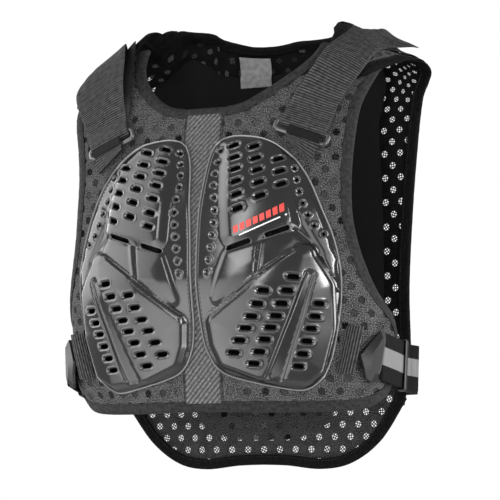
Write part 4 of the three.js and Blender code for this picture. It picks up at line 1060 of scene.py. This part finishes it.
# Chest plates: edges of the left plate, raised fields (rise, bevel, crown, softness, corner radius,
# corners), moulded lines and the groove, all as distance round the front and cloth length.
PLATE_TOP = [(16, 188), (26, 181), (46, 179), (78, 187), (104, 207)]
PLATE_OUTER = [
    (104, 207), (119, 229), (133, 258), (146, 290), (153, 322),
    (153, 348), (147, 380), (139, 412), (129, 434),
]
PLATE_LOW = [(14, 419), (26, 430), (52, 439), (96, 448), (114, 446), (129, 434)]
PLATE_INNER = [(16, 188), (10, 205), (6, 240), (3, 285), (2, 350), (5, 395), (14, 419)]
FIELDS = (
    (4.4, 12.0, 1.6, 0.3, 4.0, [(20, 179), (67, 177), (100, 201), (115, 284), (30, 307)]),
    (2.2, 6.0, 1.4, 0.8, 3.0, [(32, 302), (107, 281), (119, 298), (68, 338), (8, 368)]),
    (1.6, 5.0, 1.0, 0.9, 3.0,
     [(104, 262), (121, 291), (138, 318), (151, 344), (151, 326), (144, 292), (132, 262), (118, 238)]),
    (5.4, 8.0, 3.0, 0.9, 8.0,
     [(110, 294), (122, 294), (150, 336), (148, 385), (133, 432),
      (112, 445), (60, 440), (21, 424), (11, 399), (8, 368)]),
)
BLEND = 7
RIDGE_FOOT, RIDGE_TOP = [(106, 301), (60, 333), (17, 364)], [(105, 306), (60, 337.5), (15, 369)]
MID_RIDGE, MID_CREASE = [(74, 290), (72, 304), (69, 327)], [(68, 291), (66, 304), (64, 330)]
WING_CREASE = [(104, 280), (121, 294), (139, 321), (149, 345)]
# Each moulded line with its half width and its rise.
MOULDED = (
    (RIDGE_FOOT, 1.3, 0.8), (RIDGE_TOP, 1.2, 0.5), (MID_RIDGE, 3.4, 0.9), (MID_CREASE, 1.4, -0.5),
    (WING_CREASE, 1.6, -0.7),
)
RIDGE_GRAIN = (1.5, 3.0)
GROOVE_SHAPE, GROOVE_LINES = (3.4, 3.6, 0.0, 0.8, 1.0), (0.0, 1.2, 2.4, 3.6)
GROOVE_CORNERS = [(117, 322), (128, 327), (87, 440), (66, 436)]
SLOT_ROWS = (
    # first centre, step to the next, counts on the left and right plate, opening, recess, tilt, depth
    ((38, 192), (2.0, 13.7), (6, 7), (11.5, 4.4), (16.5, 7.4), 5 / 15, 1.2),
    ((60, 194), (2.6, 13.7), (5, 6), (11.5, 4.4), (16.5, 7.4), 5 / 15, 1.2),
    ((86, 209), (2.4, 14.0), (3, 5), (11.0, 4.4), (15.5, 7.4), 5 / 15, 1.2),
    ((48.5, 297.5), (39.5, -13.0), (2, 2), (26.0, 4.0), (27.5, 5.2), 9 / 26, 0.8),
    ((104, 331), (-6.5, 12.4), (8, 8), (12.0, 4.8), (17.0, 8.0), -1 / 14, 1.4),
    ((74, 343), (-7.0, 12.6), (6, 6), (12.0, 4.8), (17.0, 8.0), -1 / 14, 1.4),
    ((128, 356.5), (-5.0, 12.95), (6, 6), (11.0, 4.7), (15.5, 7.6), -1 / 14, 1.3),
)
HOLE_LINES = (
    (11, [(23, 196), (19, 230), (22.5, 264), (15.5, 325)]),
    (7, [(103, 218), (112, 251), (125, 278), (135, 287)]),
)
HOLE_SIZE, HOLE_RECESS, HOLE_DEPTH, HOLE_LIP = 3.6, 6.6, 0.9, 0.35
LINE_ASIDE, PLATE_SEAM, SEAM_LIFT = 1.3, 4.4, 0.1


def chest_outline():
    edges = [spline(PLATE_TOP, LOOP_STEP), spline(PLATE_OUTER, LOOP_STEP)[1:]]
    edges += [spline(PLATE_LOW, LOOP_STEP)[::-1][1:], spline(PLATE_INNER, LOOP_STEP)[::-1][1:-1]]
    return np.concatenate(edges)


def bead(points, line, half, rise):
    return rise * (1 - smooth(0, half, line_distance(points, line)))


def chest_relief(points):
    fields = [plateau(points, corners, *shape) for *shape, corners in FIELDS]
    height = (np.array(fields) ** BLEND).sum(0) ** (1 / BLEND)
    for moulded in MOULDED:
        height += bead(points, *moulded)
    return height - plateau(points, GROOVE_CORNERS, *GROOVE_SHAPE)


def chest_grain(points):
    """Rough grain in the ridge band."""
    return 1 - smooth(*RIDGE_GRAIN, line_distance(points, np.add(RIDGE_FOOT, RIDGE_TOP) / 2))


def chest_slots(side):
    slots = []
    for first, step, counts, opening, recess, tilt, depth in SLOT_ROWS:
        for k in range(counts[side]):
            slots.append(Slot(np.add(first, np.multiply(step, k)), (1, -tilt), opening, recess, depth))
    for count, line in HOLE_LINES:
        length = spread(spline(line, 1), 1)
        for k in np.linspace(0, len(length) - 1, count).round().astype(int):
            slots.append(Slot(length[k], (1, 0), [HOLE_SIZE] * 2, [HOLE_RECESS] * 2, HOLE_DEPTH, HOLE_LIP))
    return slots


def plate_seam(name, place, path, flange):
    """Stitches all round the flange of a plate."""
    sewn(name, "plate_plastic", (place, np.concatenate([path, path[:1]]), flange + SEAM_LIFT))


def chest_plates():
    outline = chest_outline()
    lines = []
    for line, _, _ in MOULDED:
        middle = spread(np.array(line, float), LOOP_STEP)
        aside = outward(middle) * LINE_ASIDE
        lines += [middle, middle + aside, middle - aside]
    for by in GROOVE_LINES:
        corners = inset(GROOVE_CORNERS, by)
        lines += [spread(corners[[1, 2]], LOOP_STEP), spread(corners[[3, 0]], LOOP_STEP)]
    for side, (name, sign) in enumerate((("left", 1), ("right", -1))):
        node = f"chest_plate_{name}"
        slots = chest_slots(side)
        moulded_plate(node, front_point, outline, chest_relief, slots, lines, sign, tone=chest_grain)
        plate_seam(node, front_point, grown(outline, -PLATE_SEAM) * (sign, 1), FLANGE_LIFT)


# Printed marks on the left plate: a row of slanted red dashes over a thin white line.
MARK = {
    "start": (44, 283), "end": (97, 259), "count": 8, "high": 7.0, "fill": 0.72, "lean": 2.5,
    "lift": 0.06, "thick": 0.3, "grid": (7, 5),
}
MARK_LINE = {"start": (50, 288.5), "end": (98, 267), "high": 1.3}


def printed(solid, start, end, high, lean=0.0):
    start, end = np.array(start, float), np.array(end, float)
    up = np.array([end[1] - start[1], start[0] - end[0]]) / np.linalg.norm(end - start)
    lean = unit(end - start) * lean
    columns, rows = MARK["grid"]
    u, v = np.meshgrid(np.linspace(0, 1, columns), np.linspace(-0.5, 0.5, rows))
    flat = start + (end - start) * u[..., None] + (up * high + lean) * v[..., None]
    flat = flat.reshape(-1, 2)
    lift = FLANGE_LIFT + chest_relief(flat) + MARK["lift"]
    layer(solid, front_point, flat, grid_faces(rows, columns), lift, lift - MARK["thick"])


def plate_marks():
    red, white = Solid(), Solid()
    start, end = np.array(MARK["start"]), np.array(MARK["end"])
    for k in range(MARK["count"]):
        a = start + (end - start) * k / MARK["count"]
        b = a + (end - start) * MARK["fill"] / MARK["count"]
        printed(red, a, b, MARK["high"], MARK["lean"])
    printed(white, MARK_LINE["start"], MARK_LINE["end"], MARK_LINE["high"])
    piece("plate_red_dashes", red, RED, None)
    piece("plate_white_line", white, WHITE, None)


# Back plate: plain shield with bowed grooves across it.
BACK_PLATE_FLANGE, BACK_PLATE_RISE, BACK_PLATE_BEVEL, BACK_PLATE_SEAM = PANEL + 3.0, 9.0, 16.0, 5.5
BACK_GROOVES = (-190, -250, -310, -370, -430)
BACK_GROOVE = {"half": 5.0, "deep": 3.0, "bow": 14, "reach": 96, "points": 60, "ease": (4, 20)}
# Width of the flat flange; low ridge down the middle: height, half width and where it fades in.
BACK_PLATE_FLAT, SPINE = 9, {"high": 1.6, "half": 9, "ease": (6, 26)}


def back_plate():
    half = np.concatenate([
        spline(BACK_PLATE_TOP, LOOP_STEP), spline(BACK_PLATE_OUTER, LOOP_STEP)[1:],
        spline(BACK_PLATE_LOW, LOOP_STEP)[::-1][1:],
    ])
    outline = np.concatenate([half, mirrored_line(half)[1:-1]])
    grooves = []
    for t in BACK_GROOVES:
        x = np.linspace(-BACK_GROOVE["reach"], BACK_GROOVE["reach"], BACK_GROOVE["points"])
        grooves.append(np.stack([x, t + BACK_GROOVE["bow"] * (x / BACK_GROOVE["reach"]) ** 2], -1))

    def relief(points):
        depth = outline_depth(points, outline) - BACK_PLATE_FLAT
        body = BACK_PLATE_RISE * smooth(0, BACK_PLATE_BEVEL, depth)
        body += bell(points[:, 0], SPINE["high"], 0, SPINE["half"]) * smooth(*SPINE["ease"], depth)
        ease = smooth(*BACK_GROOVE["ease"], depth)
        for groove in grooves:
            body -= bead(points, groove, BACK_GROOVE["half"], BACK_GROOVE["deep"]) * ease
        return body

    moulded_plate("back_plate", over_point, outline, relief, [], [], flange=BACK_PLATE_FLANGE)
    plate_seam("back_plate", over_point, grown(outline, -BACK_PLATE_SEAM), BACK_PLATE_FLANGE)


# Width of the lining's rolled edge, its inner and outer face, its least share and seat, and its grid.
LINING_ROLL, LINING_FACES, LINING_LEAST, LINING_SEAT = 14, (3.0, 2.6), 0.02, 0.9
LINING_GRID = (31, 90)


def back_lining():
    """Smooth pad inside the back, rolled thin along its edge."""
    half = coons(spline(LINING_TOP), spline(LINING_LOW), np.array([LINING_TOP[0], LINING_LOW[0]], float),
                 spline(LINING_OUTER), *LINING_GRID)
    grid = whole_grid(half)
    flat = grid.reshape(-1, 2)
    edge = np.concatenate([spline(LINING_TOP), spline(LINING_OUTER)[1:], spline(LINING_LOW)[::-1][1:]])
    depth = np.maximum(outline_depth(flat, np.concatenate([edge, mirrored_line(edge)])), 0)
    share = np.minimum(depth / LINING_ROLL, 1)
    full = np.sqrt(np.maximum(share, LINING_LEAST) * (2 - share))
    inner, outer = LINING_FACES
    solid = Solid()
    faces = grid_faces(*grid.shape[:2])
    layer(solid, over_point, flat, faces, outer * full, -LINING_SEAT - inner * full)
    piece("back_lining", solid, LINING, "lining_cloth", "back_lining")


# Shoulder straps: webbing from the shoulder to the ring, round it and back up to a free end.
# Thickness, pitch and height of the ribs, step along the webbing.
WEB_THICK, WEB_RIB, WEB_STEP = 1.5, (2.6, 0.3), 0.52
STRAP_RING, STRAP_RIDGE = np.array([109.0, 187.0]), np.array([170.0, 10.0])
STRAP_BACK, FLAP_LAST, OVER_FLAP, AT_RING = -14, 112, 18, 8.2
STRAP_LAYER, STRAP_FOLD, STRAP_CLOSE = 2.3, 4.2, 26
FREE_FROM, FREE_END, FREE_LIFT, FREE_HEM, STRAP_EASE = 34, 2, 5, 22, 12.0
# Reach of the bulge; for each strap its bulge, curl, shift of the lower layer and lift of the free corner.
BULGE, BULGE_LEFT, BULGE_RIGHT, TIP_FROM = (20, 215), (0, 0, 0, 12), (10, -4, -7, 0), 62
STRAP_ALONG = unit(STRAP_RIDGE - STRAP_RING)
STRAP_ASIDE = np.array([-STRAP_ALONG[1], STRAP_ALONG[0]])
# Where the lower layer's shift eases in, and where its painted shade ends before the free end.
SHIFT_EASE, SHADE_END = (12, 50), (34, 8)
WEB_COLUMNS = np.array([-25, -24.4, -23, -16, -8, 0, 8, 16, 23, 24.4, 25])
WEB_EDGE = np.array([0.35, 0.85, 1, 1, 1, 1, 1, 1, 1, 0.85, 0.35])
WEB_HALF, WEB_FULL, WEB_MIDDLE = 25, 0.9, len(WEB_COLUMNS) // 2
# Painted shade in the grooves between ribs, and how it grows with their depth.
GROOVE_PAINTED_SHADE, GROOVE_CURVE = 0.98, 0.7
# Sewn hems: extra thickness, where it ends at the free and at the fixed end, and where the ribs start.
HEM_THICK, HEM_FREE, HEM_FIXED, RIBS_FIXED, RIBS_EASE = 0.5, (11, 13), (8, 10), (6, 9), 2


def strap_point(a, w):
    flat = STRAP_RING + np.multiply.outer(a, STRAP_ALONG) + np.multiply.outer(w, STRAP_ASIDE)
    return over_point(flat[..., 0], flat[..., 1])


def strap_length(t):
    return (t - STRAP_RING[1]) / STRAP_ALONG[1]


def strap_rows(a, lift, shift):
    wide, along = np.meshgrid(WEB_COLUMNS, a)
    return surface(strap_point, along, wide + shift[:, None], lift, STRAP_EASE)[0]


def rib_relief(distance, pitch=WEB_RIB[0]):
    """Cross ribs of webbing along its length."""
    return WEB_RIB[1] * np.cos(2 * math.pi * distance / pitch)


def rib_painted_shade(ribs, columns=WEB_COLUMNS):
    """Painted shade in the grooves between ribs."""
    groove = GROOVE_PAINTED_SHADE * (0.5 - 0.5 * ribs / WEB_RIB[1]) ** GROOVE_CURVE
    return np.repeat(groove, len(columns))


def web_flat(distance, columns=WEB_COLUMNS):
    return np.stack(np.meshgrid(columns, distance), -1).reshape(-1, 2)


def strap_lower(a):
    return AT_RING + (OVER_FLAP - AT_RING) * smooth(0, strap_length(FLAP_LAST), a)


def shoulder_strap(bulge, curl, shift, tip):
    """One strap: its upper layer bulges off the lower one, which lies further in and is painted dark
    as its shade, and the outer corner of its free end stands up."""
    a = np.arange(STRAP_FOLD, strap_length(STRAP_BACK), WEB_STEP)
    b = np.arange(STRAP_FOLD, strap_length(FREE_END), WEB_STEP)
    turn = np.linspace(0, math.pi, 18)[1:-1]
    loose = FREE_LIFT * smooth(strap_length(FREE_FROM), strap_length(FREE_END), b)
    gap = 2 * STRAP_FOLD + (STRAP_LAYER - 2 * STRAP_FOLD) * smooth(STRAP_FOLD, STRAP_CLOSE, b)
    along = np.concatenate([a[::-1], STRAP_FOLD * (1 - np.sin(turn)), b])
    arch = np.sin(math.pi * np.clip((b - BULGE[0]) / (BULGE[1] - BULGE[0]), 0, 1)) ** 2
    above = strap_lower(b) + gap + loose + bulge * arch
    lift = np.concatenate([strap_lower(a)[::-1], AT_RING + STRAP_FOLD * (1 - np.cos(turn)), above])
    arch = np.concatenate([np.zeros(len(a) + len(turn)), arch])
    inner = smooth(-WEB_HALF, WEB_HALF, -WEB_COLUMNS)
    shifted, free = smooth(*SHIFT_EASE, a), strap_length(FREE_END)
    shaded = shifted * (1 - smooth(free - SHADE_END[0], free - SHADE_END[1], a))
    rest = np.zeros(len(turn) + len(b))
    under, shaded = (np.concatenate([share[::-1], rest]) for share in (shifted, shaded))
    end = smooth(strap_length(TIP_FROM), strap_length(FREE_END), along) * (np.arange(len(along)) > len(a))
    lift = lift[:, None] + curl * arch[:, None] * inner + tip * end[:, None] * (1 - inner)
    rows = strap_rows(along, lift, shift * under)
    distance = run_length(rows[:, WEB_MIDDLE])
    left = distance[-1] - distance
    plain = smooth(FREE_HEM - RIBS_EASE, FREE_HEM + RIBS_EASE, left) * smooth(*RIBS_FIXED, distance)
    ribs = rib_relief(distance) * plain
    hem = HEM_THICK * (1 - smooth(*HEM_FREE, left)) + HEM_THICK * (1 - smooth(*HEM_FIXED, distance))
    thick = (WEB_THICK + hem)[:, None] * WEB_EDGE
    solid = Solid()
    # Painted shade: grooves between ribs, and dark on the shifted lower layer.
    tone = np.maximum(rib_painted_shade(ribs), np.repeat(shaded * (shift != 0), len(WEB_COLUMNS)))
    ribbon(solid, rows, thick, ribs[:, None] * (WEB_EDGE > WEB_FULL), web_flat(distance), tone)
    return solid


def shoulder_straps():
    right = shoulder_strap(*BULGE_RIGHT).mirrored()
    for side, made in (("left", shoulder_strap(*BULGE_LEFT)), ("right", right)):
        piece(f"shoulder_strap_{side}", made, WEBBING, "webbing", f"shoulder_strap_{side}", angle=75)


# Rings at the ends of the straps, and the tabs that hold them.
RING_LENGTH, RING_DEPTH, RING_WIRE, RING_CORNER = 58, 11, 4, 4.0
RING_WIDER, RING_CLEAR = 1.4, 0.5
# Ring tab: width, length at both sides, drop of its outer and inner layer, relief, and a black sheet behind
# it, painted shade in the slit of the ring.
TAB_FROM, TAB_TO, TAB_COLUMNS, TAB_INNER, TAB_OUTER = -14, 23, 13, 8.0, 21.5
TAB_DROP, TAB_UNDER, TAB_RELIEF = 5.2, 1.4, 0.6
SHADE_SHEET_GAP, SHADE_SHEET_ALONG, SHADE_SHEET_THICK = 1.8, (-2, 8), 1.0


def ring_frame():
    back, lift = RING_DEPTH / 2 - STRAP_FOLD, AT_RING + STRAP_FOLD

    def at(a, w):
        return surface(strap_point, np.array([a - back]), np.array([w]), np.array([lift]))[0][0]

    along = unit(at(RING_DEPTH, 0.0) - at(-RING_DEPTH, 0.0))
    out = unit(np.cross(along, at(0.0, 1.0) - at(0.0, -1.0)))
    return at(0.0, 0.0), along, unit(np.cross(out, along)), out


def rounded_box(half_x, half_y, corner, steps=8):
    """Outline of a rectangle with rounded corners."""
    points = []
    for quarter, (u, v) in enumerate(((1, 1), (-1, 1), (-1, -1), (1, -1))):
        for angle in np.linspace(quarter, quarter + 1, steps) * math.pi / 2:
            x = u * (half_x - corner) + corner * math.cos(angle)
            y = v * (half_y - corner) + corner * math.sin(angle)
            points.append((x, y))
    return np.array(points)


def wire_ring(solid, centre, first, second, normal, outline, wide, high, sides=14):
    """Closed loop of oval wire round an outline in one plane."""
    along = unit(np.roll(outline, -1, 0) - np.roll(outline, 1, 0))
    out = np.stack([along[:, 1], -along[:, 0]], -1)
    angle = 2 * math.pi * np.arange(sides) / sides
    rows = []
    for point, away in zip(outline, out):
        flat = point + np.multiply.outer(np.cos(angle) * wide / 2, away)
        rise = np.multiply.outer(np.sin(angle) * high / 2, normal)
        rows.append(centre + flat[:, :1] * first + flat[:, 1:] * second + rise)
    tube(solid, np.array(rows), ring=True)


def shoulder_rings():
    centre, along, across, out = ring_frame()
    ring, tab = Solid(), Solid()
    outline = rounded_box(RING_DEPTH / 2, RING_LENGTH / 2, RING_CORNER)
    wire_ring(ring, centre, along, across, out, outline, RING_WIRE + RING_WIDER, RING_WIRE)
    bar = centre - along * RING_DEPTH / 2
    turn = RING_WIRE / 2 + RING_CLEAR + WEB_THICK / 2
    columns = np.linspace(TAB_FROM, TAB_TO, TAB_COLUMNS)
    reach = TAB_INNER + (TAB_OUTER - TAB_INNER) * (columns - TAB_FROM) / (TAB_TO - TAB_FROM)
    angle = np.linspace(0, math.pi, 15)
    share = np.linspace(1, 0, 26)[:-1]
    down = [(-s * reach, -turn - TAB_UNDER * smooth(0, 1, s)) for s in share]
    fold = [(np.full(TAB_COLUMNS, turn * math.sin(q)), -turn * math.cos(q)) for q in angle]
    up = [(-s * reach, turn - TAB_DROP * smooth(0, 1, s)) for s in share[::-1]]
    wide = bar + np.multiply.outer(columns, across)
    rows = np.array([wide + np.multiply.outer(a, along) + lift * out for a, lift in [*down, *fold, *up]])
    distance = run_length(rows[:, TAB_COLUMNS // 2])
    ribs = rib_relief(distance)
    relief, tone = ribs[:, None] * TAB_RELIEF, rib_painted_shade(ribs, columns)
    ribbon(tab, rows, WEB_THICK, relief, web_flat(distance, columns), tone)
    # Black sheet behind the tab: painted shade seen through the ring.
    behind = np.linspace(*SHADE_SHEET_ALONG, 8)
    rows = np.array([wide + along * a - out * (turn + SHADE_SHEET_GAP) for a in behind])
    ribbon(tab, rows, SHADE_SHEET_THICK, flat=web_flat(behind, columns), tone=1.0)
    both_sides(("shoulder_ring", ring, RING, "ring_plastic", 40), ("ring_tab", tab, WEBBING, "webbing", 75))


# Side fastenings: tab on the front, buckle, strap to the back and a keeper for its free end.
SIDE_RUN, SIDE_LIFT, SIDE_THICK, SIDE_STRAP_IN = 407, 7.6, 1.7, 2
TAB_S, TAB_RIB = (148, 163), 3.0
# Layers of the tab: lift at its two ends, swell between them, share of the webbing's thickness.
TAB_LAYERS = ((7.3, 14.0, 1.2, 1.0), (7.4, 10.6, 0.0, 0.8))
BUCKLE_S, BUCKLE_SEAT, BUCKLE_BEVEL = (163, 195), 1.6, 0.7
BUCKLE_OUTLINE = [
    (-19, 1), (-7, 17), (1, 27), (8, 25), (9, 20), (9, -20), (7, -26), (0, -28), (-7, -24), (-12, -12),
]
BUCKLE_FACE = [
    (-7, 1), (-1, 11), (3, 19), (6, 18), (7, 14), (7, -14), (5, -18), (0, -19), (-3, -16), (-6, -8),
]
BUCKLE_LEVELS, BUCKLE_FOOT = (0.0, 1.2, 4.4, 8.0), 0.94
SEWN_X, HIP_S, AROUND, BEFORE, CLEAR = 132, 222, 7, 26, 1.6
PAST_EDGE, SEWN_LIFT = 11, 0.4
LAYER, FREE_REACH, FREE_AWAY, FREE_BEND = 2.4, 66, 26, 1.3
KEEPER_AT, KEEPER_WIDE, KEEPER_WIRE, KEEPER_CLEAR, KEEPER_CORNER = 42, 8, 2.5, 0.75, 1.6
STRIPE, STRIPE_EDGE, STRAP_EXIT, STRAP_TILT, TILT_REACH = (-9, 10), (-0.2, 0.2), 9.0, 0.15, 70
STRIPED_THICK, STRIPED_RELIEF = SIDE_THICK - 0.2, 0.5
BUCKLE_DROP, BUCKLE_LEAN, TAB_LEAN = 6.0, 0.2, 0.3
UP = np.array([0.0, 0.0, 1.0])


def side_frame(s):
    step = front_point(s + 1, SIDE_RUN) - front_point(s - 1, SIDE_RUN)
    step[2] = 0
    around = unit(step)
    return front_point(s, SIDE_RUN), around, np.array([around[1], -around[0], 0])


def buckle_frame():
    point, around, out = side_frame(sum(BUCKLE_S) / 2)
    return point + out * (SIDE_LIFT + BUCKLE_SEAT) - UP * BUCKLE_DROP, around, out


def side_line():
    """Line of the side strap seen from above, in equal steps."""
    base, around, out = buckle_frame()
    start = base + around * STRAP_EXIT + out * SIDE_STRAP_IN
    hip, _, hip_out = side_frame(HIP_S)
    edge = back_point(BACK_OUTER[-2][0] + PAST_EDGE, SIDE_RUN)
    points = np.array([
        start,
        hip + hip_out * (SIDE_LIFT + SIDE_THICK),
        edge + (AROUND, -BEFORE, 0),
        edge + (AROUND, PANEL / 2, 0),
        edge + (-PANEL, PANEL + 2 * SIDE_THICK + CLEAR, 0),
        back_point(SEWN_X, SIDE_RUN) + (0, PANEL + SEWN_LIFT + CLEAR, 0),
    ])
    points[:, 2] = start[2]
    p = np.concatenate([2 * points[:1] - points[1:2], points, 2 * points[-1:] - points[-2:-1]])
    parts = []
    for p0, p1, p2, p3 in zip(p[:-3], p[1:-2], p[2:-1], p[3:]):
        d0, d1, d2 = (math.sqrt(np.linalg.norm(b - a)) for a, b in ((p0, p1), (p1, p2), (p2, p3)))
        first = ((p1 - p0) / d0 - (p2 - p0) / (d0 + d1) + (p2 - p1) / d1) * d1
        last = ((p2 - p1) / d1 - (p3 - p1) / (d1 + d2) + (p3 - p2) / d2) * d1
        parts.append(arc(p1, p2, first, last, 60))
    return spread(np.concatenate([*parts, points[-1:]]), WEB_STEP)


def line_frame(line):
    along = unit(np.gradient(line, axis=0))
    return along, np.stack([along[:, 1], -along[:, 0], np.zeros(len(line))], -1)


def side_straps():
    line = side_line()
    along, out = line_frame(line)
    distance = np.arange(len(line)) * np.linalg.norm(line[1] - line[0])
    free = distance <= FREE_REACH
    away = FREE_AWAY * smooth(KEEPER_AT + KEEPER_WIDE, FREE_REACH * FREE_BEND, distance[free])
    upper = line[free] + out[free] * (LAYER + away)[:, None]
    swing = np.linspace(0, math.pi, 12)[1:-1]
    turn = line[0] + out[0] * LAYER / 2 + np.multiply.outer(np.sin(swing), -along[0] * LAYER / 2)
    turn = turn + np.multiply.outer(np.cos(swing), out[0] * LAYER / 2)
    middle = np.concatenate([upper[::-1], turn, line])
    borders = np.add.outer(STRIPE, STRIPE_EDGE).ravel()
    columns = np.sort(np.concatenate([WEB_COLUMNS, borders]))
    beyond = np.minimum(np.concatenate([distance[free][::-1], np.zeros(len(swing)), distance]), TILT_REACH)
    lean = np.concatenate([along[free][::-1], np.repeat(along[:1], len(swing), 0), along])
    rows = middle[:, None] + columns[None, :, None] * (UP + lean * STRAP_TILT)[:, None]
    rows[..., 2] -= STRAP_TILT * beyond[:, None]
    length = run_length(middle)
    edge = np.interp(columns, WEB_COLUMNS, WEB_EDGE)
    hem = HEM_THICK * (1 - smooth(*HEM_FIXED, length))
    pale = (columns > STRIPE[0]) & (columns < STRIPE[1])
    tone = (np.ones(len(middle))[:, None] * pale).reshape(-1)
    strap = Solid()
    relief = rib_relief(length)[:, None] * (edge > WEB_FULL) * STRIPED_RELIEF
    ribbon(strap, rows, (STRIPED_THICK + hem)[:, None] * edge, relief, web_flat(length, columns), tone)
    keeper = Solid()
    k = int(np.searchsorted(distance, KEEPER_AT + KEEPER_WIDE / 2))
    centre = line[k] + out[k] * LAYER / 2 - UP * STRAP_TILT * distance[k]
    deep = (LAYER + SIDE_THICK) / 2 + KEEPER_CLEAR + KEEPER_WIRE / 2
    high = WEB_HALF + KEEPER_CLEAR + KEEPER_WIRE / 2
    box = rounded_box(deep, high, KEEPER_CORNER, 5)
    upright = unit(UP + along[k] * STRAP_TILT)
    wire_ring(keeper, centre, out[k], upright, np.cross(out[k], upright), box, KEEPER_WIRE, KEEPER_WIDE, 10)
    band = ("side_strap", strap, STRIPED, "webbing", 75)
    both_sides(band, ("side_keeper", keeper, BUCKLE, "buckle_plastic", 50))


def side_tabs():
    """Folded webbing loop between the front cloth and the buckle."""
    solid = Solid()
    for low, high, swell, share in TAB_LAYERS:
        rows = []
        for k in np.linspace(0, 1, 61):
            s = TAB_S[0] + (TAB_S[1] - TAB_S[0]) * k
            _, _, out = side_frame(s)
            lift = low + (high - low) * smooth(0, 1, k) + swell * math.sin(math.pi * k)
            rows.append(front_point(s - TAB_LEAN * WEB_COLUMNS, SIDE_RUN + WEB_COLUMNS) + out * lift)
        rows = np.array(rows)
        distance = run_length(rows[:, WEB_MIDDLE])
        ribs = rib_relief(distance, TAB_RIB)
        relief = ribs[:, None] * (WEB_EDGE > WEB_FULL)
        ribbon(solid, rows, WEB_THICK * WEB_EDGE * share, relief, web_flat(distance), rib_painted_shade(ribs))
    both_sides(("side_tab", solid, WEBBING, "webbing", 75))


def side_buckles():
    base, around, out = buckle_frame()
    outline, face = np.array(BUCKLE_OUTLINE, float), np.array(BUCKLE_FACE, float)
    rows = []
    for ring, level in zip((outline * BUCKLE_FOOT, outline, outline, face), BUCKLE_LEVELS):
        rows.append(base + ring[:, :1] * around + ring[:, 1:] * (UP + around * BUCKLE_LEAN) + out * level)
    solid = Solid()
    tube(solid, np.array(rows))
    for obj in both_sides(("side_buckle", solid, BUCKLE, "buckle_plastic", 20)):
        bevel = obj.modifiers.new("bevel", "BEVEL")
        bevel.width, bevel.segments, bevel.limit_method = BUCKLE_BEVEL * MM, 2, "ANGLE"


LABEL_X, LABEL_TOP, LABEL_SIZE, LABEL_SEAT, LABEL_THICK = 2, -62, (38, 38), 1.4, 0.7
LABEL_GRID = (25, 23)
# How far and where the label rides up on to the lining, and the curl of its lower corners.
LABEL_STEP, LABEL_STEP_AT, LABEL_CURL = 3.4, (-80, -91), 0.8


def neck_label():
    columns, rows = LABEL_GRID
    x = LABEL_X + np.linspace(-0.5, 0.5, columns) * LABEL_SIZE[0]
    t = LABEL_TOP - np.linspace(0, 1, rows) * LABEL_SIZE[1]
    flat = np.stack(np.meshgrid(x, t), -1).reshape(-1, 2)
    across = (flat[:, 0] - LABEL_X) / LABEL_SIZE[0] * 2
    curl = LABEL_CURL * across ** 2 * smooth(LABEL_TOP, LABEL_TOP - LABEL_SIZE[1], flat[:, 1])
    curl += LABEL_STEP * smooth(*LABEL_STEP_AT, flat[:, 1])
    solid, faces = Solid(), grid_faces(rows, columns)
    layer(solid, over_point, flat, faces, -LABEL_SEAT - curl, -LABEL_SEAT - LABEL_THICK - curl)
    label = piece("neck_label", solid, LABEL, "label_cloth", "neck_label")


front_panels()
back_cloth()
bindings()
centre_strip()
chest_plates()
plate_marks()
back_plate()
back_lining()
shoulder_straps()
shoulder_rings()
side_straps()
side_tabs()
side_buckles()
neck_label()
